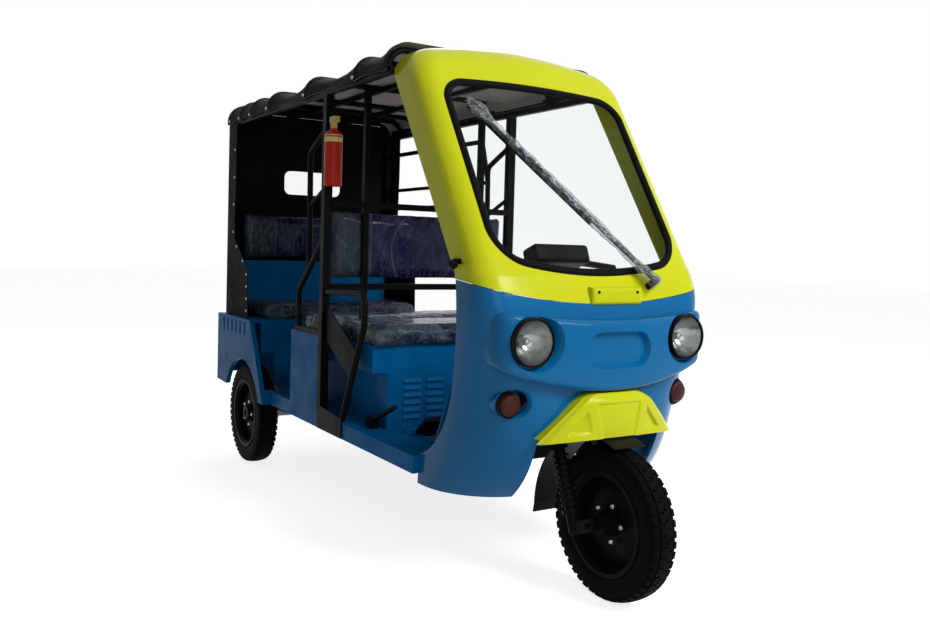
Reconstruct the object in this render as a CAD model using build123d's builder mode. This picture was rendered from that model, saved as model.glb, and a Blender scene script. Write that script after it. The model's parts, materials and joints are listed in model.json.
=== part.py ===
import math
import os

from build123d import *

# Main sizes in millimetres, front faces -Y, the floor is z = 0
overall_length = 2790
wheelbase = 2150
track = 870
body_half_width = 500
tyre_radius = 240
tyre_width = 96
bead_radius = 152
front_axle_y = tyre_radius - overall_length / 2
rear_axle_y = front_axle_y + wheelbase
rear_end_y = overall_length / 2
axle_z = tyre_radius

# Chassis and floor
rail_x = 300
rail_width = 40
rail_height = 50
rail_bottom = 330
rail_top = rail_bottom + rail_height
floor_sheet = 5
floor_top = rail_top + floor_sheet
sill_outer = 460
sill_inner = 434
sill_bottom = 332
sill_top = 392
sill_front_y = front_axle_y + 463
sill_rear_y = front_axle_y + 1836
rail_front_y = front_axle_y + 406

# Posts and roof
post_side = 34
post_x = sill_outer + 4 - post_side / 2
post_inner = post_x - post_side / 2
b_post_y = front_axle_y + 1260
rear_post_y = front_axle_y + 2480
roof_rail_side = 24
roof_rail_top = 1702
roof_rail_bottom = roof_rail_top - roof_rail_side
bow_radius = 12
bow_corner = 85
bow_crown = 1772
bow_places = [735, 983, 1477, 1936, 2183, 2350, 2500]
canvas = 5
canvas_gap = 0.3
canopy_bottom = 1690
cab_back_y = front_axle_y + 700

# Seats
seat_top = 705
cushion_thick = 70
bench_half = 425
front_box_y = front_axle_y + 900
front_box_back_y = front_axle_y + 1560
rear_box_y = front_axle_y + 2060
sheet = 10

# Cab shell
cab_half = 450
cab_wall = 12
cab_roof = 1800
cab_roof_corner = 125
cab_pillar_round = 70
screen_lean = math.radians(31.7)
screen_foot_y = front_axle_y + 98
screen_foot_z = 1000
cab_rows = [
    (300, 185, 245, 440),
    (470, 66, 262, 434),
    (620, 40, 240, 437),
    (790, 46, 160, 450),
    (screen_foot_z, 95, 78, 450),
]
cab_hollow_back = 760
seam_y = front_axle_y + 85
seam_z = 903
seam_slope = math.radians(26)
band_half = 462
band_low = 698
band_high = 870
arch_half = 250
arch_top = 528

# Lamps
headlamp_x = 311
headlamp_z = 807
headlamp_seat_y = front_axle_y + 34
headlamp_radius = 72
lens_radius = 60
signal_x = 343
signal_z = 614
signal_seat_y = front_axle_y + 100
signal_radius = 35

# Steering
rake = math.radians(21)
axle_lead = 70
axis_y = front_axle_y + axle_lead / math.cos(rake)
steer_plane = Plane(
    origin=(0, axis_y, axle_z),
    x_dir=(1, 0, 0),
    z_dir=(0, math.sin(rake), math.cos(rake)),
)
axle_drop = -axle_lead * math.tan(rake)
leg_x = 97
leg_radius = 19
spring_radius = 27
clamp_bottom = 350
clamp_thick = 26
head_bottom = 382
head_top = 585
stem_radius = 17
running_gap = 0.05
bar_height = 830
axle_radius = 8
hub_half = 62

os.makedirs("parts", exist_ok=True)


def bent_tube(points, bend, radius):
    with BuildLine() as route:
        if len(points) > 2:
            FilletPolyline(*points, radius=bend)
        else:
            Line(*points)
    with BuildSketch(Plane(origin=route.line @ 0, z_dir=route.line % 0)) as ring:
        Circle(radius)
    sweep(ring.sketch, path=route.line)


def solid_box(x_span, y_span, z_span, mode=Mode.ADD):
    size = [abs(span[1] - span[0]) for span in (x_span, y_span, z_span)]
    middle = [(span[0] + span[1]) / 2 for span in (x_span, y_span, z_span)]
    with Locations(tuple(middle)):
        Box(*size, mode=mode)


def side_plate(points, x_from, x_to, corner=0, mode=Mode.ADD):
    with BuildSketch(Plane.YZ.offset(x_from)) as shape:
        with BuildLine():
            Polyline(*points, close=True)
        make_face()
        if corner:
            fillet(shape.vertices(), corner)
    extrude(shape.sketch, amount=x_to - x_from, mode=mode)


def along_y(x, y_from, z, radius, y_to, mode=Mode.ADD):
    with BuildSketch(Plane.XZ.offset(-y_from)) as disc:
        with Locations((x, z)):
            Circle(radius)
    extrude(disc.sketch, amount=y_from - y_to, mode=mode)


def along_x(x_from, x_to, y, z, radius, mode=Mode.ADD):
    with BuildSketch(Plane.YZ.offset(x_from)) as disc:
        with Locations((y, z)):
            Circle(radius)
    extrude(disc.sketch, amount=x_to - x_from, mode=mode)


def at(back):
    return front_axle_y + back


def cab_lower_form(inset):
    with BuildPart() as form:
        for height, nose, corner, half in cab_rows:
            with BuildSketch(Plane.XY.offset(height)) as row:
                with Locations((0, at((nose + inset + cab_hollow_back) / 2))):
                    Rectangle(2 * (half - inset), cab_hollow_back - nose - inset)
                fillet(row.vertices().group_by(Axis.Y)[0], corner - inset)
        loft()
    return form.part


def cab_upper_form(inset):
    lean_normal = Vector(0, -math.cos(screen_lean), math.sin(screen_lean))
    foot = Vector(0, screen_foot_y, screen_foot_z) - lean_normal * inset
    with BuildPart() as form:
        with BuildSketch(Plane.XZ.offset(-at(-150))) as outline:
            with Locations((0, (screen_foot_z + cab_roof - inset) / 2)):
                Rectangle(2 * (cab_half - inset), cab_roof - inset - screen_foot_z)
            fillet(outline.vertices().group_by(Axis.Y)[-1], cab_roof_corner - inset)
        extrude(amount=-(cab_hollow_back + 150))
        split(bisect_by=Plane(origin=foot, z_dir=lean_normal), keep=Keep.BOTTOM)
        front = form.faces().filter_by(lambda face: face.normal_at().dot(lean_normal) > 0.99)
        rim = [edge for edge in front.edges() if edge.center().Z > screen_foot_z + 20]
        fillet(rim, cab_pillar_round - inset)
    return form.part


def door_cut():
    with BuildPart() as form:
        with BuildSketch(Plane.YZ.offset(-600)):
            with BuildLine():
                Polyline((cab_back_y, 1900), (cab_back_y, 1692), (at(240), 990))
                ThreePointArc((at(240), 990), (at(224), 850), (at(258), 670))
                ThreePointArc((at(258), 670), (at(335), 490), (sill_front_y, 396))
                Polyline(
                    (sill_front_y, 396),
                    (sill_front_y, 200),
                    (at(1100), 200),
                    (at(1100), 1900),
                    (cab_back_y, 1900),
                )
            make_face()
        extrude(amount=1200)
    return form.part


def seam_wedge(keep_above):
    seam_plane = Plane(
        origin=(0, seam_y, seam_z),
        x_dir=(1, 0, 0),
        z_dir=(0, -math.sin(seam_slope), math.cos(seam_slope)),
    )
    with BuildPart(seam_plane) as form:
        reach = 1500 if keep_above else -1500
        with Locations((0, 0, reach / 2)):
            Box(1400, 3000, 1500)
    return form.part


# Cab, blue lower shell with the lamp band
with BuildPart() as cab_lower:
    add(cab_lower_form(0))
    with BuildPart() as lamp_band:
        with BuildSketch(Plane.XY.offset(band_low)) as band_plan:
            with BuildLine():
                ThreePointArc((-band_half, at(70)), (0, at(-13)), (band_half, at(70)))
                Polyline(
                    (band_half, at(70)),
                    (band_half - 4, at(130)),
                    (band_half - 50, at(190)),
                    (50 - band_half, at(190)),
                    (4 - band_half, at(130)),
                    (-band_half, at(70)),
                )
            make_face()
            fillet(band_plan.vertices().sort_by(Axis.X)[0], 48)
            fillet(band_plan.vertices().sort_by(Axis.X)[-1], 48)
        extrude(amount=band_high - band_low)
        crown_edges = lamp_band.edges().group_by(Axis.Z)[-1]
        fillet([edge for edge in crown_edges if edge.center().Y < at(128)], 26)
        base_edges = lamp_band.edges().group_by(Axis.Z)[0]
        fillet([edge for edge in base_edges if edge.center().Y < at(128)], 12)
    for side in (-1, 1):
        along_y(side * signal_x, signal_seat_y, signal_z, signal_radius + 6, at(170))
    add(cab_lower_form(cab_wall), mode=Mode.SUBTRACT)
    add(door_cut(), mode=Mode.SUBTRACT)
    add(seam_wedge(True), mode=Mode.SUBTRACT)
    solid_box((-arch_half, arch_half), (at(-200), at(420)), (200, arch_top), Mode.SUBTRACT)
    for side in (-1, 1):
        along_y(side * headlamp_x, at(-200), headlamp_z, headlamp_radius + 7, headlamp_seat_y, Mode.SUBTRACT)
        along_y(side * headlamp_x, at(-200), headlamp_z, lens_radius + 2, at(120), Mode.SUBTRACT)
        along_y(side * signal_x, at(-200), signal_z, signal_radius + 9, signal_seat_y, Mode.SUBTRACT)
    with BuildSketch(Plane.XZ.offset(-at(-60))):
        with Locations((0, 779)):
            RectangleRounded(256, 104, 46)
    extrude(amount=-58, mode=Mode.SUBTRACT)

# Cab, lime upper shell with the screen opening
screen_plane = Plane(
    origin=(0, screen_foot_y, screen_foot_z),
    x_dir=(1, 0, 0),
    z_dir=(0, -math.cos(screen_lean), math.sin(screen_lean)),
)
screen_half = 384
screen_low = 12
screen_high = 775
seal_width = 26
seal_thick = 20
glass_thick = 6


def screen_outline(inset):
    half = screen_half - inset
    low = screen_low + inset
    high = screen_high - inset
    with BuildSketch() as shape:
        with BuildLine():
            Polyline((-half, low), (half, low), (half, high), (-half, high), close=True)
        make_face()
        fillet(shape.vertices().group_by(Axis.Y)[0], 120 - inset)
        fillet(shape.vertices().group_by(Axis.Y)[-1], 70 - inset)
    return shape.sketch


with BuildPart() as cab_upper:
    add(cab_upper_form(0))
    add(cab_lower_form(0))
    add(cab_upper_form(cab_wall), mode=Mode.SUBTRACT)
    add(cab_lower_form(cab_wall), mode=Mode.SUBTRACT)
    solid_box(
        (cab_wall - cab_half, cab_half - cab_wall),
        (screen_foot_y + cab_wall + 6, at(cab_hollow_back)),
        (screen_foot_z - 20, screen_foot_z + 20),
        Mode.SUBTRACT,
    )
    add(door_cut(), mode=Mode.SUBTRACT)
    add(seam_wedge(False), mode=Mode.SUBTRACT)
    with BuildSketch(screen_plane.offset(40)):
        add(screen_outline(0))
    extrude(amount=-90, mode=Mode.SUBTRACT)

# Threaded mirror sockets on the pillars
socket_y = at(232)
socket_z = 1030
socket_length = 24
socket_radius = 13
socket_plate = 4
thread_radius = 5
with BuildPart() as mirror_sockets:
    for side in (-1, 1):
        with BuildSketch(Plane.YZ.offset(side * cab_half)) as foot_plate:
            with Locations((socket_y, socket_z)):
                RectangleRounded(4 * socket_radius - 6, 3 * socket_radius - 5, 8)
        extrude(foot_plate.sketch, amount=side * socket_plate)
        along_x(side * cab_half, side * (cab_half + socket_length), socket_y, socket_z, socket_radius)
    along_x(-600, 600, socket_y, socket_z, thread_radius, Mode.SUBTRACT)

with BuildPart() as windscreen_seal:
    with BuildSketch(screen_plane.offset(5)):
        add(screen_outline(0))
        add(screen_outline(seal_width), mode=Mode.SUBTRACT)
    extrude(amount=-seal_thick)

with BuildPart() as windscreen:
    with BuildSketch(screen_plane.offset(-2)):
        add(screen_outline(seal_width))
    extrude(amount=-glass_thick)

# Lime visor over the front wheel
visor_low = 518
visor_high = 648
with BuildPart() as front_visor:
    with BuildSketch(Plane.XY.offset(visor_low)):
        with BuildLine():
            ThreePointArc((-268, at(28)), (0, at(-22)), (268, at(28)))
            Polyline((268, at(28)), (262, at(100)), (-262, at(100)), (-268, at(28)))
        make_face()
    with BuildSketch(Plane.XY.offset(visor_high)):
        with BuildLine():
            ThreePointArc((-122, at(20)), (0, at(-8)), (122, at(20)))
            Polyline((122, at(20)), (120, at(100)), (-120, at(100)), (-122, at(20)))
        make_face()
    loft(ruled=True)
    add(cab_lower_form(0), mode=Mode.SUBTRACT)
    with BuildSketch(Plane.XY.offset(visor_low)):
        with BuildLine():
            ThreePointArc((-250, at(34)), (0, at(-12)), (250, at(34)))
            Polyline((250, at(34)), (246, at(100)), (-246, at(100)), (-250, at(34)))
        make_face()
    with BuildSketch(Plane.XY.offset(visor_high - 34)):
        with BuildLine():
            ThreePointArc((-140, at(30)), (0, at(0)), (140, at(30)))
            Polyline((140, at(30)), (138, at(100)), (-138, at(100)), (-140, at(30)))
        make_face()
    loft(ruled=True, mode=Mode.SUBTRACT)

# Headlamps and signals
with BuildPart() as headlamp_rims:
    for side in (-1, 1):
        along_y(side * headlamp_x, headlamp_seat_y - 20, headlamp_z, headlamp_radius, headlamp_seat_y)
        along_y(side * headlamp_x, headlamp_seat_y - 21, headlamp_z, lens_radius, headlamp_seat_y + 1, Mode.SUBTRACT)

def cap_points(rim_y, radius, rise):
    ball = (radius * radius + rise * rise) / (2 * abs(rise))
    half_turn = math.asin(min(1, radius / ball)) / 2
    toward = 1 if rise > 0 else -1
    centre_y = rim_y + rise - toward * ball
    middle = (centre_y + toward * ball * math.cos(half_turn), ball * math.sin(half_turn))
    return (rim_y, radius), middle, (rim_y + rise, 0)


def dish(rim_y, radius, rise, wall):
    outer_rim, outer_middle, outer_tip = cap_points(rim_y, radius, rise)
    inner_rim, inner_middle, inner_tip = cap_points(rim_y, radius - wall, rise + (wall if rise < 0 else -wall))
    with BuildPart() as bowl:
        with BuildSketch(Plane.YZ):
            with BuildLine():
                ThreePointArc(outer_rim, outer_middle, outer_tip)
                Line(outer_tip, inner_tip)
                ThreePointArc(inner_tip, inner_middle, inner_rim)
                Line(inner_rim, outer_rim)
            make_face()
        revolve(axis=Axis.Y)
    return bowl.part


with BuildPart() as plain_lens:
    add(dish(headlamp_seat_y - 6, lens_radius, -24, 4))
with BuildPart() as headlamp_lenses:
    with Locations((-headlamp_x, 0, headlamp_z), (headlamp_x, 0, headlamp_z)):
        add(plain_lens.part)

with BuildPart() as plain_reflector:
    add(dish(headlamp_seat_y - 4, lens_radius, 52, 5))
with BuildPart() as headlamp_reflectors:
    with Locations((-headlamp_x, 0, headlamp_z), (headlamp_x, 0, headlamp_z)):
        add(plain_reflector.part)

with BuildPart() as turn_signals:
    for side in (-1, 1):
        along_y(side * signal_x, signal_seat_y - 26, signal_z, signal_radius, signal_seat_y)
    front_rims = turn_signals.edges().group_by(Axis.Y)[0]
    fillet(front_rims, 10)

# Wiper and its motor cover
with BuildPart() as wiper_motor_cover:
    solid_box((-60, 150), (at(58), at(100)), (912, 968))
    fillet([edge for edge in wiper_motor_cover.edges() if edge.center().Y < at(70)], 12)
    add(cab_lower_form(0), mode=Mode.SUBTRACT)

wiper_root = (196, -32)
wiper_tip = (-318, 640)
wiper_length = math.dist(wiper_root, wiper_tip)
wiper_angle = math.degrees(math.atan2(wiper_tip[1] - wiper_root[1], wiper_tip[0] - wiper_root[0]))
wiper_plane = Plane(
    origin=screen_plane.from_local_coords((wiper_root[0], wiper_root[1], 0)),
    x_dir=screen_plane.from_local_coords((wiper_tip[0], wiper_tip[1], 0))
    - screen_plane.from_local_coords((wiper_root[0], wiper_root[1], 0)),
    z_dir=screen_plane.z_dir,
)
with BuildPart(wiper_plane) as wiper_arm:
    with Locations((0, 0, 10)):
        Cylinder(12, 64)
    with Locations((wiper_length * 0.36, 0, 34)):
        Box(wiper_length * 0.72 + 20, 14, 10)
    with Locations((wiper_length * 0.66, 0, 22)):
        Box(wiper_length * 0.66, 9, 22)
with BuildPart() as wiper:
    add(wiper_arm.part)
    add(cab_lower.part, mode=Mode.SUBTRACT)
    add(cab_upper.part, mode=Mode.SUBTRACT)

# Chassis ladder with the steering head
with BuildPart() as chassis_frame:
    for side in (-1, 1):
        solid_box(
            (side * rail_x - rail_width / 2, side * rail_x + rail_width / 2),
            (rail_front_y, rear_end_y - 10),
            (rail_bottom, rail_top),
        )
    for cross_y in (at(470), at(1010), at(1610), at(1990), rear_end_y - 35):
        solid_box((-rail_x, rail_x), (cross_y - 20, cross_y + 20), (rail_bottom + 5, rail_top))
    for cross_y in (at(560), b_post_y, at(1780)):
        solid_box((-sill_inner, sill_inner), (cross_y - 20, cross_y + 20), (rail_bottom + 5, rail_top))
    for side in (-1, 1):
        bent_tube([(side * rail_x, at(420), rail_top - 24), (side * 16, at(272), 712)], 0, 19)
        for hanger_back in (1715, 2450):
            solid_box((side * rail_x - 20, side * rail_x + 20), (at(hanger_back - 18), at(hanger_back + 18)), (300, 335))
    with BuildSketch(steer_plane.offset(head_bottom)):
        Circle(29)
    extrude(amount=head_top - head_bottom)
    with BuildSketch(steer_plane.offset(head_bottom - 60)):
        Circle(stem_radius + running_gap)
    extrude(amount=head_top - head_bottom + 120, mode=Mode.SUBTRACT)
    for side in (-1, 1):
        along_y(side * 100, rear_end_y - 90, (rail_bottom + rail_top) / 2, 6.5, rear_end_y + 20, Mode.SUBTRACT)

# Floor with toe board and ribs
with BuildPart() as floor_pan:
    solid_box((-sill_inner, sill_inner), (sill_front_y, at(1830)), (rail_top, floor_top))
    solid_box((-360, 360), (at(1825), rear_end_y - 30), (rail_top, floor_top))
    solid_box((-400, 400), (at(446), sill_front_y + 10), (rail_top, floor_top))
    side_plate(
        [(at(446), rail_top), (at(452), floor_top), (at(345), 622), (at(339), 620)],
        -400,
        400,
    )
    for rib in range(6):
        solid_box((-300, 300), (at(505 + rib * 62), at(523 + rib * 62)), (floor_top - 1, floor_top + 6))

# Sills
with BuildPart() as sills:
    for side in (-1, 1):
        solid_box((side * sill_inner, side * sill_outer), (sill_front_y, sill_rear_y), (sill_bottom, sill_top))

# Side frames: door post, hoop, hand rails, rear post
guard_top = 1590


def side_frame(side):
    x = side * post_x
    solid_box(
        (x - post_side / 2, x + post_side / 2),
        (b_post_y - post_side / 2, b_post_y + post_side / 2),
        (sill_top, roof_rail_bottom),
    )
    bent_tube(
        [(x, b_post_y - 4, 888), (x, at(876), 902), (x, at(882), 782), (x, at(1062), sill_top + 8)],
        44,
        12.5,
    )
    side_plate(
        [(at(1252), 850), (at(930), 668), (at(978), 560), (at(1252), 706)],
        x - 2,
        x + 2,
    )
    side_plate(
        [
            (at(1030), sill_bottom + 2),
            (at(1268), sill_bottom + 2),
            (at(1268), sill_top + 36),
            (at(1030), sill_top + 20),
        ],
        side * sill_outer,
        side * (sill_outer + 6),
    )
    solid_box((x - 10, side * (sill_outer + 3)), (at(1036), at(1250)), (sill_top, sill_top + 12))
    bent_tube([(x, b_post_y + 3, 1548), (x, at(1442), 1462), (x, at(1430), 978)], 40, 12)
    bent_tube([(x, b_post_y + 3, 1112), (x, at(1536), 884), (x, at(1536), seat_top + 7)], 40, 12.3)
    bent_tube([(x, b_post_y + 3, 1312), (x, at(1438), 1236)], 0, 9)
    solid_box((x - 11, x + 11), (b_post_y + 5, at(1556)), (seat_top, seat_top + 21))
    solid_box((x - 15, x + 15), (rear_post_y - 15, rear_post_y + 15), (seat_top, roof_rail_bottom))


with BuildPart() as side_frame_right:
    side_frame(-1)

with BuildPart() as side_frame_left:
    side_frame(1)
    bent_tube(
        [(post_x, at(1436), 1380), (post_x, at(1496), guard_top), (post_x, rear_post_y - 3, guard_top)],
        60,
        11.5,
    )
    for guard_z in (1060, 1290, 1392):
        bent_tube([(post_x, at(1434), guard_z), (post_x, rear_post_y - 3, guard_z)], 0, 9.5)

# Roof rails, stringers and bows
with BuildPart() as roof_rails:
    for side in (-1, 1):
        solid_box(
            (side * post_x - roof_rail_side / 2, side * post_x + roof_rail_side / 2),
            (cab_back_y, at(2505)),
            (roof_rail_bottom, roof_rail_top),
        )
        solid_box(
            (side * 150 - 10, side * 150 + 10),
            (at(720), at(2512)),
            (bow_crown - bow_radius - 20, bow_crown - bow_radius),
        )

with BuildPart() as roof_bows:
    for place in bow_places:
        bent_tube(
            [
                (-post_x, at(place), roof_rail_top),
                (-post_x, at(place), bow_crown),
                (post_x, at(place), bow_crown),
                (post_x, at(place), roof_rail_top),
            ],
            65,
            bow_radius,
        )


def canopy_outline(grow):
    half = post_x + bow_radius + canvas_gap + grow
    crown = bow_crown + bow_radius + canvas_gap + grow
    with BuildSketch() as shape:
        with BuildLine():
            Polyline((-half, canopy_bottom), (half, canopy_bottom), (half, crown), (-half, crown), close=True)
        make_face()
        fillet(shape.vertices().group_by(Axis.Y)[-1], 65 + bow_radius + canvas_gap + grow)
    return shape.sketch


back_sheet_y = at(2516)
with BuildPart() as roof_canopy:
    with BuildSketch(Plane.XZ.offset(-cab_back_y)):
        add(canopy_outline(canvas + 8))
        add(canopy_outline(8), mode=Mode.SUBTRACT)
    extrude(amount=cab_back_y - rear_end_y + 6)
    with BuildSketch(Plane.XZ.offset(-cab_back_y)):
        add(canopy_outline(8.5))
        add(canopy_outline(0), mode=Mode.SUBTRACT)
    extrude(amount=cab_back_y - at(2512))

# Rear curtain with side quarters and window
curtain_x = post_x + 20
window_half = 165
window_low = 1343
window_high = 1474
with BuildPart() as rear_curtain:
    for side in (-1, 1):
        side_plate(
            [
                (back_sheet_y + canvas, seat_top),
                (at(2160), seat_top),
                (at(2170), 945),
                (at(2392), 1095),
                (at(2384), canopy_bottom - 0.3),
                (back_sheet_y + canvas, canopy_bottom - 0.3),
            ],
            side * curtain_x - canvas / 2,
            side * curtain_x + canvas / 2,
        )
    solid_box(
        (-curtain_x, curtain_x),
        (back_sheet_y, back_sheet_y + canvas),
        (seat_top, canopy_bottom - 0.3),
    )
    solid_box((-420, 420), (back_sheet_y, back_sheet_y + canvas), (canopy_bottom - 5, bow_crown - 6))
    with BuildSketch(Plane.XZ.offset(-back_sheet_y + 30)):
        with Locations((0, (window_low + window_high) / 2)):
            RectangleRounded(2 * window_half, window_high - window_low, 34)
    extrude(amount=-90, mode=Mode.SUBTRACT)

with BuildPart() as rear_window:
    with BuildSketch(Plane.XZ.offset(-back_sheet_y - 1)):
        with Locations((0, (window_low + window_high) / 2)):
            RectangleRounded(2 * window_half, window_high - window_low, 34)
    extrude(amount=-3)

# Seats
with BuildPart() as front_seat_box:
    solid_box((-400, 400), (front_box_y, front_box_back_y), (600, seat_top))
    solid_box((-335, 335), (front_box_y, front_box_back_y), (floor_top, 610))
    solid_box((-390, 390), (front_box_y + sheet, front_box_back_y - sheet), (610, seat_top - sheet), Mode.SUBTRACT)
    solid_box((-325, 325), (front_box_y + sheet, front_box_back_y - sheet), (floor_top - 1, 620), Mode.SUBTRACT)
    for column in (-228, -128, 128, 228):
        for row in range(6):
            low = 420 + row * 28
            with BuildSketch(Plane.YZ.offset(column - 38)):
                with BuildLine():
                    Polyline(
                        (front_box_y + 1, low),
                        (front_box_y - 8, low),
                        (front_box_y + 1, low + 16),
                        close=True,
                    )
                make_face()
            extrude(amount=76)

battery_top = 590
with BuildPart() as battery_pack:
    solid_box((-300, 300), (front_box_y + 40, front_box_back_y - 60), (floor_top, battery_top))


with BuildPart() as driver_seat_cushion:
    solid_box((-bench_half, bench_half), (at(852), at(1222)), (seat_top, seat_top + cushion_thick))
    fillet(driver_seat_cushion.edges().filter_by(Axis.Z), 30)
    fillet(driver_seat_cushion.faces().sort_by(Axis.Z)[-1].edges(), 18)

with BuildPart() as middle_seat_cushion:
    solid_box((-bench_half, bench_half), (at(1306), at(1580)), (seat_top, seat_top + cushion_thick))
    fillet(middle_seat_cushion.edges().filter_by(Axis.Z), 30)
    fillet(middle_seat_cushion.faces().sort_by(Axis.Z)[-1].edges(), 18)

pad_low = 925
pad_high = 1232
pad_front_y = b_post_y
with BuildPart() as driver_backrest:
    solid_box((-bench_half, bench_half), (pad_front_y, pad_front_y + 38), (pad_low, pad_high))
    fillet(driver_backrest.faces().sort_by(Axis.Y)[0].edges(), 14)

with BuildPart() as middle_backrest:
    solid_box((-bench_half, bench_half), (pad_front_y + 38, pad_front_y + 80), (pad_low, pad_high))
    fillet(middle_backrest.faces().sort_by(Axis.Y)[-1].edges(), 14)

bar_side = 25
back_pad_y = at(2400)
back_bar_y = rear_post_y - 10
with BuildPart() as seat_back_frame:
    for bar_z in (908, 1244):
        solid_box(
            (-post_inner, post_inner),
            (b_post_y - bar_side, b_post_y),
            (bar_z - bar_side / 2, bar_z + bar_side / 2),
        )
    for side in (-1, 1):
        solid_box(
            (side * 280 - 12, side * 280 + 12),
            (b_post_y - bar_side, b_post_y),
            (seat_top, bow_crown - bow_radius - 30),
        )
    for bar_z in (1030, 1190):
        solid_box(
            (-post_x + 15, post_x - 15),
            (back_bar_y, back_bar_y + 20),
            (bar_z - bar_side / 2, bar_z + bar_side / 2),
        )

with BuildPart() as rear_seat_box:
    solid_box((-sill_inner, sill_inner), (rear_box_y, at(2505)), (545, seat_top))
    solid_box((-360, 360), (rear_box_y, at(2505)), (floor_top, 550))
    solid_box((sheet - sill_inner, sill_inner - sheet), (rear_box_y + sheet, at(2495)), (555, seat_top - sheet), Mode.SUBTRACT)
    solid_box((-350, 350), (rear_box_y + sheet, at(2495)), (floor_top - 1, 560), Mode.SUBTRACT)
    solid_box((-bench_half, bench_half), (back_bar_y - 18, back_bar_y), (seat_top - 1, 985))

with BuildPart() as rear_seat_cushion:
    solid_box((-bench_half, bench_half), (at(2040), back_pad_y + 30), (seat_top, seat_top + cushion_thick))
    fillet(rear_seat_cushion.edges().filter_by(Axis.Z), 30)
    fillet(rear_seat_cushion.faces().sort_by(Axis.Z)[-1].edges(), 18)

with BuildPart() as rear_backrest:
    solid_box((-bench_half, bench_half), (back_pad_y, back_bar_y), (986, 1238))
    fillet(rear_backrest.faces().sort_by(Axis.Y)[0].edges(), 18)

# Blue side panels and rear quarters
with BuildPart() as side_panels:
    for side in (-1, 1):
        solid_box(
            (side * (sill_outer - 14), side * sill_outer),
            (b_post_y + post_side / 2, at(1590)),
            (sill_top, seat_top),
        )

fender_arch = 268
lamp_thick = 14
panel_thick = 15
fender_sheet = 22
with BuildPart() as rear_fenders:
    for side in (-1, 1):
        side_plate(
            [
                (sill_rear_y, sill_bottom),
                (rear_end_y, sill_bottom + 26),
                (rear_end_y, seat_top),
                (at(2036), seat_top),
            ],
            side * (body_half_width - fender_sheet),
            side * body_half_width,
        )
        side_plate(
            [
                (at(2062), seat_top - 16),
                (rear_end_y - lamp_thick - panel_thick, seat_top - 16),
                (rear_end_y - lamp_thick - panel_thick, seat_top),
                (at(2062), seat_top),
            ],
            side * sill_inner,
            side * (body_half_width - fender_sheet + 1),
        )
        side_plate(
            [
                (sill_rear_y, sill_bottom),
                (sill_rear_y + 22, sill_bottom),
                (sill_rear_y + 55, sill_top),
                (sill_rear_y + 33, sill_top),
            ],
            side * sill_inner,
            side * (body_half_width - fender_sheet + 1),
        )
        along_x(
            side * (body_half_width - 60),
            side * (body_half_width + 10),
            rear_axle_y,
            axle_z,
            fender_arch,
            Mode.SUBTRACT,
        )

with BuildPart() as rear_panel:
    solid_box(
        (fender_sheet - body_half_width, body_half_width - fender_sheet),
        (rear_end_y - lamp_thick - panel_thick, rear_end_y - lamp_thick),
        (rail_top + 15, seat_top),
    )

with BuildPart() as tail_lamps:
    for side in (-1, 1):
        solid_box((side * 330, side * 450), (rear_end_y - lamp_thick, rear_end_y), (540, 620))

# Fire extinguisher on the right door post
can_radius = 36
can_y = b_post_y - post_side / 2 - can_radius - 3
with BuildPart() as fire_extinguisher:
    with Locations((-post_x, can_y, 1420)):
        Cylinder(can_radius, 220)
    fillet(fire_extinguisher.edges().group_by(Axis.Z)[-1], 22)
    fillet(fire_extinguisher.edges().group_by(Axis.Z)[0], 6)
    with Locations((-post_x, can_y, 1545)):
        Cylinder(14, 36)
    with Locations((-post_x, can_y - 6, 1574)):
        Box(22, 52, 22)
    for strap_z in (1360, 1470):
        solid_box(
            (-post_x - 14, -post_x + 14),
            (can_y + can_radius - 8, b_post_y - post_side / 2),
            (strap_z - 9, strap_z + 9),
        )

# Rear axle, motor and springs
axle_half = 352
hub_gap = 0.05
spindle_radius = 15
with BuildPart() as rear_axle:
    along_x(-axle_half, axle_half, rear_axle_y, axle_z, 29)
    along_x(-axle_half - 108, axle_half + 108, rear_axle_y, axle_z, spindle_radius)
    for side in (-1, 1):
        along_x(side * (axle_half - 20), side * (axle_half + 14), rear_axle_y, axle_z, 78)
    with Locations((0, rear_axle_y, axle_z)):
        Sphere(82)

with BuildPart() as drive_motor:
    along_y(0, rear_axle_y - 330, axle_z + 8, 74, rear_axle_y - 82)
    along_y(0, rear_axle_y - 82, axle_z + 8, 46, rear_axle_y - 60)
    with Locations((0, rear_axle_y, axle_z)):
        Sphere(82, mode=Mode.SUBTRACT)

with BuildPart() as leaf_springs:
    for side in (-1, 1):
        with BuildSketch(Plane.YZ.offset(side * rail_x - 25)):
            with BuildLine():
                ThreePointArc(
                    (at(1690), 300), (rear_axle_y, axle_z + 29), (at(2475), 300)
                )
                Line((at(2475), 300), (at(2475), 292))
                ThreePointArc((at(2475), 292), (rear_axle_y, axle_z + 15), (at(1690), 292))
                Line((at(1690), 292), (at(1690), 300))
            make_face()
        extrude(amount=50)
        solid_box((side * rail_x - 25, side * rail_x + 25), (rear_axle_y - 170, rear_axle_y + 170), (axle_z + 29, axle_z + 44))
        for hanger_back in (1715, 2450):
            solid_box(
                (side * rail_x - 25, side * rail_x + 25),
                (at(hanger_back - 18), at(hanger_back + 18)),
                (284, 300),
            )
    along_x(-axle_half, axle_half, rear_axle_y, axle_z, 29, Mode.SUBTRACT)

# Driver controls
with BuildPart() as driver_controls:
    solid_box((-384, -356), (at(925), at(985)), (floor_top, floor_top + 40))
    bent_tube([(-370, at(955), floor_top + 25), (-370, at(770), floor_top + 108)], 0, 9)
    solid_box((-262, -222), (at(711), at(751)), (floor_top, floor_top + 16))
    side_plate(
        [
            (at(690), floor_top + 62),
            (at(760), floor_top + 6),
            (at(768), floor_top + 14),
            (at(698), floor_top + 72),
        ],
        -285,
        -200,
    )

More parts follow.
